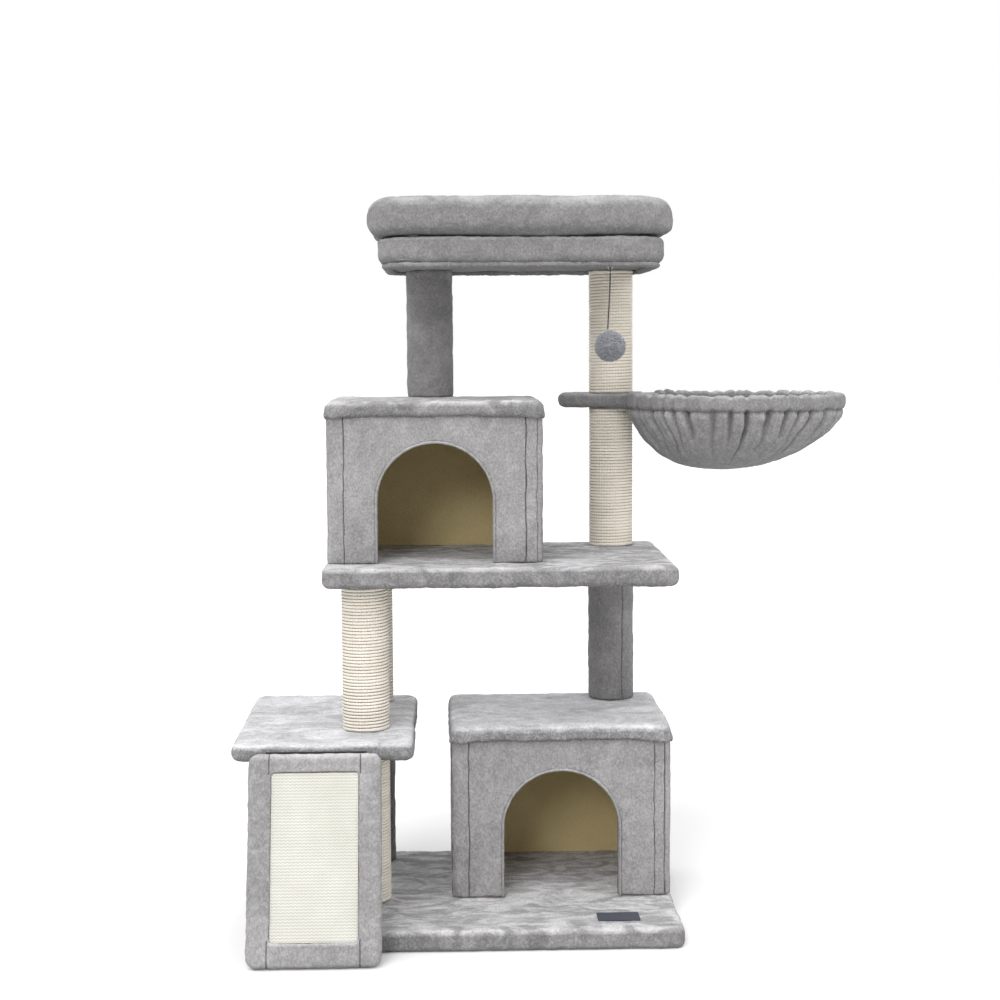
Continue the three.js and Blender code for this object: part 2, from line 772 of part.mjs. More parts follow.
function addHammock() {
  const group = new THREE.Group();
  group.position.set(rightPost.x, rightPost.y, plateBottom);
  group.rotation.z = -HAMMOCK_TURN;
  const hoopZ = PLATE_THICKNESS / 2;
  const wireSpace = HOOP_WIRE_RADIUS + FIT;
  const boardThickness = PLATE_THICKNESS - 2 * boardInset;

  // The hoop's channel is open towards the underside.
  const channel = solid(
    flatRing(
      HOOP_RADIUS - wireSpace,
      HOOP_RADIUS + wireSpace,
      hoopZ + wireSpace + CUT_PAST,
    ).translate(hoopX, 0, -CUT_PAST),
  );
  const bore = solid(rod(boreRadius, -CUT_PAST, PLATE_THICKNESS + CUT_PAST));
  const board = solid(raised(plateOutline(boardInset), boardThickness).translate(0, 0, boardInset));
  const pocket = solid(
    raised(plateOutline(PLUSH), boardThickness + 2 * FIT).translate(0, 0, PLUSH),
  );
  const cover = solid(raised(plateOutline(PLATE_EDGE), PLATE_THICKNESS, PLATE_EDGE));
  addMesh(group, "hammock_plate_board", board.subtract(bore).subtract(channel), "board");
  addMesh(
    group,
    "hammock_plate_cover",
    cover.subtract(pocket).subtract(bore).subtract(channel),
    "plush",
  );

  const wire = roundRing(HOOP_RADIUS, HOOP_WIRE_RADIUS, WIRE_SEGMENTS, BOWL_SEGMENTS * 2);
  addMesh(group, "hammock_hoop", wire, "steel").position.set(hoopX, 0, hoopZ);

  // The hem is a tunnel round the wire, and stops on each side of the plate.
  const tunnel = solid(
    roundRing(HOOP_RADIUS, wireSpace + FIT, WIRE_SEGMENTS, BOWL_SEGMENTS * 2).translate(
      hoopX,
      0,
      hoopZ,
    ),
  );
  const spaceLength = plateHoopX + PLATE_PAST_POST + 2 * CUT_PAST;
  const plateSpace = solid(
    block(
      spaceLength,
      PLATE_HOOP_WIDTH + 2 * CUT_PAST,
      PLATE_THICKNESS + 2 * CUT_PAST,
      plateHoopX + CUT_PAST - spaceLength / 2,
      0,
      -CUT_PAST,
    ),
  );
  addMesh(
    group,
    "hammock_bowl",
    bowlSolid().subtract(tunnel).subtract(plateSpace),
    "plush",
  );
  catTree.add(group);
}

// ---- Perch ----

function addPerch() {
  const padded = coveredBoard(
    "perch",
    {
      width: perchWidth,
      depth: PERCH_DEPTH,
      thickness: PERCH_THICKNESS,
      board: PERCH_BOARD_THICKNESS,
      corner: PERCH_CORNER,
      edge: PERCH_EDGE,
    },
    [
      blindBore(topPost, perch),
      blindBore(rightPost, perch),
      { ...blindBore(toy, perch), radius: EYE_WIRE_RADIUS + FIT },
    ],
  );
  padded.position.set(perch.x, perch.y, perchBottom);

  const outerWidth = perchWidth + 2 * BOLSTER_OVERHANG;
  const outerDepth = PERCH_DEPTH + 2 * BOLSTER_OVERHANG;
  const outerCorner = PERCH_CORNER + BOLSTER_OVERHANG;
  const ring = roundedRectangle(
    outerWidth - 2 * BOLSTER_ROUND,
    outerDepth - 2 * BOLSTER_ROUND,
    outerCorner - BOLSTER_ROUND,
  );
  const middle = BOLSTER_WIDTH - BOLSTER_ROUND;
  const innerCorner = Math.max(outerCorner - middle, BOLSTER_SMALLEST_CORNER);
  ring.holes.push(
    roundedRectangle(outerWidth - 2 * middle, outerDepth - 2 * middle, innerCorner, THREE.Path),
  );
  addMesh(
    catTree,
    "perch_bolster",
    raised(ring, BOLSTER_HEIGHT, BOLSTER_ROUND),
    "plush",
  ).position.set(perch.x, perch.y, perchTop + FIT);

  const padInset = 2 * (BOLSTER_WIDTH + PAD_CLEARANCE);
  const padCorner = Math.max(outerCorner - BOLSTER_WIDTH, PAD_SMALLEST_CORNER);
  const pad = paddedSlab(
    outerWidth - padInset,
    outerDepth - padInset,
    PAD_THICKNESS,
    padCorner,
    PAD_EDGE,
  );
  addMesh(catTree, "perch_pad", pad, "plush").position.set(perch.x, perch.y, perchTop + FIT);
  catTree.add(padded);
}

// ---- Ramp ----

// The panel is drawn upright: its back face on y = 0, its foot on z = 0.
function upright(geometry) {
  return geometry.rotateX(Math.PI / 2);
}

function addRamp() {
  const hingeY = leftPlatformFront - RAMP_HINGE_GAP;
  const hingeZ = leftPlatformTop - RAMP_HINGE_DROP;
  const run = hingeY + back + RAMP_FOOT_FROM_BASE;
  const lean = Math.atan2(run, hingeZ);
  // The rounded foot touches the floor below the panel's square corner.
  const footRise = RAMP_EDGE * (Math.sin(lean) + Math.cos(lean) - 1);
  const length = (hingeZ + footRise) / Math.cos(lean);

  const group = new THREE.Group();
  group.position.set(
    leftPlatform.x - LEFT_PLATFORM_WIDTH / 2 + RAMP_FROM_PLATFORM_LEFT,
    hingeY - length * Math.sin(lean),
    -footRise,
  );
  group.rotation.x = -lean;

  const middle = length / 2;
  const matLength = length - MAT_FROM_TOP - MAT_FROM_BOTTOM;
  const matMiddle = MAT_FROM_BOTTOM + matLength / 2;
  const boardThickness = RAMP_THICKNESS - 2 * boardInset - MAT_THICKNESS / 2;
  const boardCorner = RAMP_CORNER - boardInset;
  const boardWidth = RAMP_WIDTH - 2 * boardInset;
  const boardLength = length - 2 * boardInset;

  const board = upright(
    raised(roundedRectangle(boardWidth, boardLength, boardCorner), boardThickness),
  ).translate(0, -boardInset, middle);
  addMesh(group, "ramp_board", board, "board");

  const pocket = solid(
    upright(
      raised(
        roundedRectangle(boardWidth + 2 * FIT, boardLength + 2 * FIT, boardCorner + FIT),
        boardThickness + 2 * FIT,
      ),
    ).translate(0, -PLUSH, middle),
  );
  const matOpening = solid(
    upright(
      raised(
        roundedRectangle(MAT_WIDTH + 2 * FIT, matLength + 2 * FIT, MAT_CORNER),
        RAMP_THICKNESS,
      ),
    ).translate(0, -boardInset - boardThickness / 2, matMiddle),
  );
  const cover = solid(
    upright(paddedSlab(RAMP_WIDTH, length, RAMP_THICKNESS, RAMP_CORNER, RAMP_EDGE)).translate(
      0,
      0,
      middle,
    ),
  );
  addMesh(group, "ramp_cover", cover.subtract(pocket).subtract(matOpening), "plush");

  const mat = upright(
    raised(roundedRectangle(MAT_WIDTH, matLength, MAT_CORNER), MAT_THICKNESS),
  ).translate(0, -boardInset - boardThickness - FIT, matMiddle);
  addMesh(group, "ramp_mat", mat, "sisal");
  catTree.add(group);

  // Woven tape between the platform's front edge and the top of the ramp.
  const tape = block(HINGE_TAPE_WIDTH, HINGE_TAPE_THICKNESS, RAMP_HINGE_DROP / 2);
  addMesh(catTree, "ramp_hinge_tape", tape, "cord").position.set(
    group.position.x,
    leftPlatformFront - FIT - HINGE_TAPE_THICKNESS / 2,
    hingeZ - RAMP_HINGE_DROP / 4,
  );
}

// ---- Toy ----

function addToy() {
  const group = new THREE.Group();
  group.position.set(toy.x, toy.y, perchBottom);

  // The eye: a ring that faces the front, on a shank in the perch's underside.
  const eyeCentre = -EYE_RADIUS - 2 * EYE_WIRE_RADIUS;
  const ring = roundRing(EYE_RADIUS, EYE_WIRE_RADIUS, WIRE_SEGMENTS, EYE_SEGMENTS).rotateX(
    Math.PI / 2,
  );
  const shank = rod(EYE_WIRE_RADIUS, eyeCentre + EYE_RADIUS, STUD_GRIP, 0, 0, WIRE_SEGMENTS);
  addMesh(
    group,
    "toy_eye",
    solid(ring.translate(0, 0, eyeCentre)).add(solid(shank)),
    "steel",
  );

  // The string's own loop hangs in the eye, turned a quarter round.
  const loopCentre = eyeCentre - 2 * EYE_RADIUS + 2 * EYE_WIRE_RADIUS + FIT;
  const loop = roundRing(EYE_RADIUS, EYE_WIRE_RADIUS, WIRE_SEGMENTS, EYE_SEGMENTS)
    .rotateY(Math.PI / 2)
    .translate(0, 0, loopCentre);
  addMesh(group, "toy_loop", loop, "cord");

  const top = loopCentre - EYE_RADIUS - EYE_WIRE_RADIUS - FIT;
  const route = new THREE.CatmullRomCurve3(
    STRING_ROUTE.map(([x, z]) => new THREE.Vector3(x, 0, top + z)),
  );
  const section = new THREE.Shape();
  section.absarc(0, 0, STRING_RADIUS, 0, 2 * Math.PI);
  const string = new THREE.ExtrudeGeometry(section, {
    steps: STRING_STEPS,
    extrudePath: route,
    bevelEnabled: false,
    curveSegments: STRING_SEGMENTS,
  });
  addMesh(group, "toy_string", string, "cord");

  // The pompom hangs centred below the loop, so the string's end meets it off its top.
  const [endX, endZ] = STRING_ROUTE.at(-1);
  const contactDrop = Math.sqrt(POMPOM_RADIUS ** 2 - endX ** 2);
  const pompom = new THREE.IcosahedronGeometry(POMPOM_RADIUS, POMPOM_DETAIL);
  addMesh(group, "toy_pompom", pompom, "plush").position.set(
    0,
    0,
    top + endZ - FIT - STRING_RADIUS - contactDrop,
  );
  catTree.add(group);
}

addBase();
addPlatforms();
addPosts();
addCondos();
addHammock();
addPerch();
addRamp();
addToy();

export default catTree;
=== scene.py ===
"""A cat tree in light grey plush: boards, boxes, posts, a perch, a hammock, a ramp and a toy.

Metres, +Z up, -Y is the front. The fixed frame gives the places and the main sizes.
"""

import math
import random

import bmesh
import bpy
import numpy as np
from mathutils import Matrix, Vector, noise


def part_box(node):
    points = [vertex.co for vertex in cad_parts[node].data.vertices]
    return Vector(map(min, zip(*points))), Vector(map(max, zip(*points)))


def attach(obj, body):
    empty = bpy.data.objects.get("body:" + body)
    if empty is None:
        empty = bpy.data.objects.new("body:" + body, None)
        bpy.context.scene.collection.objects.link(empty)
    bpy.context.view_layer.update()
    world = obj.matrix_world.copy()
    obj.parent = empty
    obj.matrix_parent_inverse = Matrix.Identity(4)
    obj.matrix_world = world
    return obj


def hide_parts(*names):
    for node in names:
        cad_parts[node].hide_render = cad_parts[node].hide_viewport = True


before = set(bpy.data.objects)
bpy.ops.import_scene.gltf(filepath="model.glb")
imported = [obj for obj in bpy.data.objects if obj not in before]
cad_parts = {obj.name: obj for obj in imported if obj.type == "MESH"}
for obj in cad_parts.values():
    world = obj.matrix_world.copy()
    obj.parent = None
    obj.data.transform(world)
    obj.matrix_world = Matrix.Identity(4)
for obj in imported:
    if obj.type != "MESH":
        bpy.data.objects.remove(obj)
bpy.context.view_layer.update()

MM = 0.001
FULL_TURN = 2 * math.pi
# Points closer than this become one.
WELD = 1e-6

# ---- Camera ----

CAMERA_PLACE = Vector((-0.025, -2.621, 0.835))
CAMERA_YAW = math.radians(1.75)
CAMERA_PITCH = math.radians(-4.87)
CAMERA_ROLL = math.radians(-0.3)
LENS_MM = 64.4
SENSOR_MM = 36


def add_camera():
    data = bpy.data.cameras.new("camera")
    data.lens = LENS_MM
    data.sensor_width = SENSOR_MM
    camera = bpy.data.objects.new("camera", data)
    turn = (
        Matrix.Rotation(-CAMERA_YAW, 4, "Z")
        @ Matrix.Rotation(math.pi / 2 + CAMERA_PITCH, 4, "X")
        @ Matrix.Rotation(CAMERA_ROLL, 4, "Z")
    )
    camera.matrix_world = Matrix.Translation(CAMERA_PLACE) @ turn
    bpy.context.scene.collection.objects.link(camera)
    bpy.context.scene.camera = camera


# ---- Materials ----


class Shader:
    """A material's node tree, with short calls for the nodes that these finishes share."""

    def __init__(self, name, roughness, **sockets):
        self.material = bpy.data.materials.new(name)
        self.material.use_nodes = True
        self.tree = self.material.node_tree
        self.surface = self.tree.nodes["Principled BSDF"]
        self.surface.inputs["Roughness"].default_value = roughness
        for socket, value in sockets.items():
            self.surface.inputs[socket.replace("_", " ")].default_value = value
        self.place = self.node("ShaderNodeTexCoord").outputs["Object"]

    def node(self, kind, **values):
        made = self.tree.nodes.new(kind)
        for key, value in values.items():
            setattr(made, key, value)
        return made

    def link(self, source, target):
        self.tree.links.new(source, target)

    def scaled(self, scale, turn=(0, 0, 0)):
        mapping = self.node("ShaderNodeMapping")
        mapping.inputs["Scale"].default_value = scale
        mapping.inputs["Rotation"].default_value = turn
        self.link(self.place, mapping.inputs["Vector"])
        return mapping.outputs["Vector"]

    def cloudy(self, scale, detail=2.0, roughness=0.5, turn=(0, 0, 0), distortion=0.0):
        """Noise with a cell size per axis: scale is how many cells go in a metre."""
        made = self.node("ShaderNodeTexNoise")
        made.inputs["Scale"].default_value = 1.0
        made.inputs["Detail"].default_value = detail
        made.inputs["Roughness"].default_value = roughness
        made.inputs["Distortion"].default_value = distortion
        self.link(self.scaled(scale, turn), made.inputs["Vector"])
        return made.outputs["Fac"]

    def ranged(self, value, low, high, to_low=0.0, to_high=1.0):
        made = self.node("ShaderNodeMapRange")
        for socket, number in zip(
            ("From Min", "From Max", "To Min", "To Max"), (low, high, to_low, to_high)
        ):
            made.inputs[socket].default_value = number
        self.link(value, made.inputs["Value"])
        return made.outputs["Result"]

    def sums(self, operation, first, second):
        made = self.node("ShaderNodeMath", operation=operation)
        for socket, value in zip(made.inputs, (first, second)):
            if isinstance(value, (int, float)):
                socket.default_value = value
            else:
                self.link(value, socket)
        return made.outputs["Value"]

    def mixed(self, share, first, second):
        """A colour from first to second. Either may be a colour or another mix."""
        made = self.node("ShaderNodeMix", data_type="RGBA")
        self.link(share, made.inputs["Factor"])
        for socket, value in ((made.inputs[6], first), (made.inputs[7], second)):
            if isinstance(value, tuple):
                socket.default_value = (*value, 1.0)
            else:
                self.link(value, socket)
        return made.outputs[2]

    def stored(self, name):
        return self.node("ShaderNodeAttribute", attribute_name=name)

    def paint(self, body, *layers):
        """A base colour with others laid over it, each as (value, low, high, most, colour)."""
        for value, low, high, most, colour in layers:
            body = self.mixed(self.ranged(value, low, high, 0.0, most), body, colour)
        self.link(body, self.surface.inputs["Base Color"])

    def bump(self, height, depth, after=None):
        made = self.node("ShaderNodeBump")
        made.inputs["Distance"].default_value = depth
        self.link(height, made.inputs["Height"])
        if after is not None:
            self.link(after, made.inputs["Normal"])
        self.link(made.outputs["Normal"], self.surface.inputs["Normal"])
        return made.outputs["Normal"]


def plush_material(name, front, top, nap, tuft, patch=1.0):
    """Short pile: fine tufts, clumps, and patches where the nap was brushed the other way.

    front is the pile seen end on. top is painted sheen on faces that look up, and also the lighter
    tone of clumps and tufts; faces that look down get a dark, painted shade. nap is the
    patches' scale along each axis, and patch how sharply they show.
    """
    shader = Shader(name, 0.95, Specular_IOR_Level=0.06, Sheen_Weight=0.12, Sheen_Roughness=0.6)
    brushed = shader.cloudy(nap, detail=4.0, roughness=0.6, distortion=1.4)
    brushed = shader.ranged(brushed, 0.5 - 0.16 / patch, 0.5 + 0.16 / patch)
    clumps = shader.cloudy((75, 75, 55), detail=3.0, roughness=0.55, distortion=0.6)
    tufts = shader.cloudy(tuft, detail=2.0, roughness=0.65, distortion=0.35)
    split = shader.node("ShaderNodeSeparateXYZ")
    shader.link(shader.node("ShaderNodeTexCoord").outputs["Normal"], split.inputs["Vector"])
    facing = split.outputs["Z"]

    def toned(colour, by):
        return tuple(channel * by for channel in colour)

    # dark is painted shade on faces that look down, and also the darker tone of clumps and tufts.
    dark = toned(front, 0.42)
    body = shader.mixed(brushed, toned(front, 0.82), toned(front, 1.22))
    # Painted sheen for faces that look up, patched like the nap.
    painted_top_sheen = shader.mixed(brushed, toned(top, 0.66), toned(top, 1.3))
    shader.paint(
        body,
        # Painted sheen on faces that look up, then painted shade on faces that look down.
        (facing, 0.3, 0.9, 1.0, painted_top_sheen),
        (facing, -0.2, -0.9, 0.7, dark),
        (clumps, 0.58, 0.32, 0.16, dark),
        (clumps, 0.52, 0.72, 0.12, top),
        (tufts, 0.52, 0.3, 0.36, dark),
        (tufts, 0.5, 0.72, 0.24, top),
        # The seam layer is painted shade: along stitched grooves, and in the bowl's fold valleys
        # and under its hem.
        (shader.stored("seam").outputs["Fac"], 0.1, 1.0, 0.72, toned(front, 0.22)),
    )
    coarse = shader.bump(clumps, 3.0 * MM)
    shader.bump(tufts, 1.8 * MM, coarse)
    return shader.material


def sisal_material():
    """Twisted rope: the strands run across each turn, with loose lighter fibres."""
    shader = Shader("sisal_rope", 0.88, Specular_IOR_Level=0.2, Sheen_Weight=0.15)
    lay = shader.stored("lay").outputs["Vector"]
    split = shader.node("ShaderNodeSeparateXYZ")
    shader.link(lay, split.inputs["Vector"])
    along, around = split.outputs["X"], split.outputs["Y"]
    twist = shader.sums("ADD", shader.sums("MULTIPLY", along, 1500.0), around)
    strands = shader.sums("SINE", twist, 0.0)
    fibres = shader.cloudy((900, 900, 2600), detail=3.0, roughness=0.7)
    patches = shader.cloudy((14, 14, 60), detail=3.0)
    shader.paint(
        (0.71, 0.655, 0.56),
        (patches, 0.3, 0.7, 1.0, (0.8, 0.755, 0.67)),
        # Painted shade in the hollows between the strands.
        (strands, -0.2, -1.0, 0.28, (0.46, 0.39, 0.3)),
        (fibres, 0.5, 0.75, 0.7, (0.93, 0.9, 0.81)),
    )
    coarse = shader.bump(strands, 0.3 * MM)
    shader.bump(fibres, 0.5 * MM, coarse)
    return shader.material


def mat_material():
    """Woven sisal matting."""
    shader = Shader("woven_mat", 0.85, Specular_IOR_Level=0.2)
    raised = shader.stored("weave").outputs["Fac"]
    fibres = shader.cloudy((1300, 500, 500), detail=3.0, roughness=0.7)
    patches = shader.cloudy((20, 20, 20), detail=2.0)
    shader.paint(
        (0.55, 0.545, 0.5),
        (patches, 0.3, 0.7, 1.0, (0.61, 0.605, 0.565)),
        # Painted shade where the weave lies low.
        (raised, 0.55, 0.0, 0.58, (0.3, 0.29, 0.24)),
        (fibres, 0.48, 0.25, 0.3, (0.6, 0.55, 0.42)),
    )
    shader.bump(fibres, 0.4 * MM)
    return shader.material


def lining_material():
    """Khaki felt glued inside the boxes."""
    shader = Shader("khaki_lining", 0.95, Specular_IOR_Level=0.1, Sheen_Weight=0.1)
    felt = shader.cloudy((420, 420, 420), detail=3.0, roughness=0.7)
    patches = shader.cloudy((9, 9, 9), detail=2.0)
    shader.paint(
        (0.49, 0.39, 0.2),
        (patches, 0.35, 0.65, 1.0, (0.56, 0.455, 0.245)),
        (felt, 0.5, 0.3, 0.35, (0.28, 0.24, 0.13)),
    )
    shader.bump(felt, 0.5 * MM)
    return shader.material


def board_material():
    """Raw particle board: chips pressed flat."""
    shader = Shader("particle_board", 0.8)
    chips = shader.node("ShaderNodeTexVoronoi")
    chips.inputs["Scale"].default_value = 1.0
    shader.link(shader.scaled((240, 240, 420)), chips.inputs["Vector"])
    tone = shader.node("ShaderNodeSeparateColor")
    shader.link(chips.outputs["Color"], tone.inputs["Color"])
    shader.paint(shader.mixed(tone.outputs["Red"], (0.42, 0.28, 0.15), (0.66, 0.5, 0.32)))
    shader.bump(chips.outputs["Distance"], 0.4 * MM)
    return shader.material


def paper_material():
    """Wound kraft paper, with a line where each turn of the strip laps the last."""
    shader = Shader("kraft_paper", 0.85)
    fibres = shader.cloudy((300, 300, 900), detail=3.0)
    winding = shader.node("ShaderNodeTexWave", wave_type="BANDS", bands_direction="Z")
    winding.inputs["Scale"].default_value = 1.0
    winding.inputs["Distortion"].default_value = 0.4
    shader.link(shader.scaled((6, 6, 9)), winding.inputs["Vector"])
    shader.paint(
        (0.38, 0.26, 0.14),
        (fibres, 0.3, 0.7, 1.0, (0.52, 0.38, 0.22)),
        (winding.outputs["Fac"], 0.96, 1.0, 0.6, (0.2, 0.13, 0.07)),
    )
    shader.bump(fibres, 0.2 * MM)
    return shader.material


def steel_material():
    """Zinc-plated steel, lightly scuffed."""
    shader = Shader("zinc_steel", 0.35, Metallic=1.0)
    scuffs = shader.cloudy((160, 160, 1200), detail=4.0)
    shader.paint((0.5, 0.51, 0.52), (scuffs, 0.3, 0.7, 1.0, (0.68, 0.69, 0.7)))
    worn = shader.ranged(scuffs, 0.3, 0.7, 0.28, 0.48)
    shader.link(worn, shader.surface.inputs["Roughness"])
    shader.bump(scuffs, 0.05 * MM)
    return shader.material


def thread_material(name, dark, light, scale):
    """Spun or woven thread in one dark colour."""
    shader = Shader(name, 0.75, Sheen_Weight=0.15)
    threads = shader.cloudy(scale, detail=3.0, roughness=0.6)
    shader.paint(dark, (threads, 0.3, 0.7, 1.0, light))
    shader.bump(threads, 0.25 * MM)
    return shader.material


# Painted shade: the first grey darkens the fronts of the boards and the pad. Painted sheen: the
# next lightens faces that look up, and the last lightens them more as painted light.
SHADED_FRONT_GREY = (0.182, 0.177, 0.179)
SHEEN_TOP_GREY = (0.52, 0.514, 0.525)
PAINTED_LIGHT_TOP_GREY = (0.68, 0.675, 0.7)
# Each plush finish paints sheen on faces that look up and shade on faces that look down.
MATERIALS = {
    "walls": plush_material(
        "plush_walls", (0.252, 0.246, 0.247), SHEEN_TOP_GREY, (9, 9, 6), (360, 360, 260), 0.75
    ),
    # A shaded copy of the plush: fronts and tops painted darker than the walls'.
    "shaded_rolls": plush_material(
        "plush_rolls_shaded", (0.188, 0.183, 0.184), (0.4, 0.395, 0.4), (10, 10, 14), (360, 360, 300), 0.8
    ),
    # Fronts painted darker, as shade; tops as the walls'.
    "tops_shaded_fronts": plush_material(
        "plush_tops_shaded_fronts", SHADED_FRONT_GREY, SHEEN_TOP_GREY, (15, 32, 14), (340, 400, 340), 1.9
    ),
    # Fronts painted darker as shade, tops painted lighter as light.
    "painted_light_tops": plush_material(
        "plush_painted_light_tops", SHADED_FRONT_GREY, PAINTED_LIGHT_TOP_GREY, (12, 22, 14), (340, 400, 340), 0.75
    ),
    "sisal": sisal_material(),
    "mat": mat_material(),
    "lining": lining_material(),
    "board": board_material(),
    "paper": paper_material(),
    "steel": steel_material(),
    "black_thread": thread_material(
        "black_thread", (0.008, 0.008, 0.009), (0.035, 0.034, 0.036), (1500, 1500, 1500)
    ),
    "navy_label": thread_material(
        "navy_label", (0.008, 0.012, 0.025), (0.03, 0.04, 0.07), (1800, 500, 500)
    ),
    # The yarn's second grey is painted sheen on faces that look up.
    "yarn": plush_material(
        "grey_yarn", (0.31, 0.32, 0.35), (0.5, 0.51, 0.55), (60, 60, 60), (900, 900, 900)
    ),
}

# ---- Meshes ----


def named_object(name, data):
    made = bpy.data.objects.new(name, data)
    bpy.context.scene.collection.objects.link(made)
    return made


def bake_modifiers(obj):
    """The object with its modifiers made part of its mesh."""
    graph = bpy.context.evaluated_depsgraph_get()
    final = bpy.data.meshes.new_from_object(obj.evaluated_get(graph))
    obj.modifiers.clear()
    old = obj.data
    obj.data = final
    bpy.data.meshes.remove(old)
    return obj


def evened(obj, cell):
    """The closed piece rebuilt as an even mesh of small quads, for a pile to stand on."""
    remesh = obj.modifiers.new("even", "REMESH")
    remesh.mode = "VOXEL"
    remesh.voxel_size = cell
    remesh.use_smooth_shade = True
    return bake_modifiers(obj)


def from_bmesh(name, bm):
    mesh = bpy.data.meshes.new(name)
    bm.to_mesh(mesh)
    bm.free()
    return named_object(name, mesh)


def cad_copy(name, node):
    """A copy of a frame node, with its loose triangles merged."""
    bm = bmesh.new()
    bm.from_mesh(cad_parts[node].data)
    bmesh.ops.remove_doubles(bm, verts=bm.verts, dist=WELD)
    return from_bmesh(name, bm)


def round_off(bm, edges, radius, steps):
    bmesh.ops.bevel(
        bm,
        geom=edges,
        offset=radius,
        segments=steps,
        profile=0.5,
        affect="EDGES",
        material=-1,
        clamp_overlap=True,
    )


def slab(low, high, corner, edge, corner_steps=8, edge_steps=5):
    """A box between two corners, with round corners seen from above and rolled edges."""
    bm = bmesh.new()
    size, centre = high - low, (low + high) / 2
    bmesh.ops.create_cube(
        bm, size=1, matrix=Matrix.Translation(centre) @ Matrix.Diagonal((*size, 1))
    )
    upright = [e for e in bm.edges if abs(e.verts[0].co.z - e.verts[1].co.z) > size.z / 2]
    round_off(bm, upright, corner, corner_steps)
    rims = [e for e in bm.edges if len({abs(f.normal.z) > 0.5 for f in e.link_faces}) == 2]
    round_off(bm, rims, edge, edge_steps)
    return bm


def uneven(places):
    """Smooth noise from -1 to 1 for an array of places, one cell to a unit."""
    cell = np.floor(places).astype(np.int64)
    part = places - cell
    ease = part * part * (3 - 2 * part)
    total = np.zeros(len(places))
    for corner in np.ndindex(2, 2, 2):
        x, y, z = (cell + corner).T
        mixed = ((x * 73856093) ^ (y * 19349663) ^ (z * 83492791)) & 0xFFFFFFFF
        mixed = ((mixed ^ (mixed >> 13)) * 1274126177) & 0xFFFFFFFF
        mixed ^= mixed >> 16
        share = np.prod(np.where(np.array(corner) == 1, ease, 1 - ease), axis=1)
        total += share * (mixed / 0x7FFFFFFF - 1)
    return total


def read_points(mesh):
    points = np.empty(len(mesh.vertices) * 3)
    mesh.vertices.foreach_get("co", points)
    return points.reshape(-1, 3)


def write_points(mesh, points):
    mesh.vertices.foreach_set("co", points.ravel())
    mesh.update()


def closed_ring(bm, places):
    """A closed loop of points through places, as its points and its edges."""
    verts = [bm.verts.new(place) for place in places]
    return verts, [bm.edges.new(pair) for pair in zip(verts, verts[1:] + verts[:1])]


def edges_of(geom):
    return [g for g in geom if isinstance(g, bmesh.types.BMEdge)]


def verts_of(geom):
    return [g for g in geom if isinstance(g, bmesh.types.BMVert)]


def sweep_round(bm, geom, centre, angle, steps, climb=0.0, axis=(0, 0, 1), merge=False):
    """Sweeps a section round an axis, climbing evenly, and gives back its last copy."""
    return bmesh.ops.spin(
        bm,
        geom=geom,
        cent=centre,
        axis=axis,
        dvec=(0, 0, climb / steps),
        angle=angle,
        steps=steps,
        use_merge=merge,
        use_normal_flip=False,
        use_duplicate=False,
    )["geom_last"]


def sweep_capped(bm, places, centre, angle, steps, climb=0.0):
    """Sweeps a closed section through places into a tube, with a face over each end."""
    ring, edges = closed_ring(bm, places)
    bm.faces.new(ring)
    last = sweep_round(bm, [*ring, *edges], centre, angle, steps, climb)
    bmesh.ops.contextual_create(bm, geom=edges_of(last))


def tube_along(name, route, height, section):
    """A closed tube round a level route. section gives its outline at a place, as (out, up)."""
    bm = bmesh.new()
    rings = []
    for place, out in route:
        _, edges = closed_ring(
            bm,
            [
                (place.x + out.x * across, place.y + out.y * across, height + up)
                for across, up in section(place)
            ],
        )
        rings.append(edges)
    for one, two in zip(rings, rings[1:] + rings[:1]):
        bmesh.ops.bridge_loops(bm, edges=[*one, *two])
    bmesh.ops.recalc_face_normals(bm, faces=bm.faces)
    return from_bmesh(name, bm)


def circle(sides):
    """The cosine and sine of evenly spread angles."""
    turns = [FULL_TURN * i / sides for i in range(sides)]
    return [(math.cos(turn), math.sin(turn)) for turn in turns]


def squared(value, power):
    """A cosine or sine whose circle is made squarer by a power below 1."""
    return math.copysign(abs(value) ** power, value)


# The pile's relief as (clump size, height): broad swells, clumps and tufts.
PILE = ((45 * MM, 1.0 * MM), (13 * MM, 0.7 * MM), (6 * MM, 0.6 * MM))


def grow_pile(obj, strength=1.0, layers=PILE):
    """Moves each point along its normal by layered noise, so edges are soft and uneven."""
    mesh = obj.data
    points = read_points(mesh)
    normals = np.empty(len(mesh.vertices) * 3)
    mesh.vertex_normals.foreach_get("vector", normals)
    height = sum(rise * uneven(points / size) for size, rise in layers)
    write_points(mesh, points + normals.reshape(-1, 3) * (height * strength)[:, None])
    return obj


# How far from a seam's line its faces are looked for.
SEAM_REACH = 10 * MM


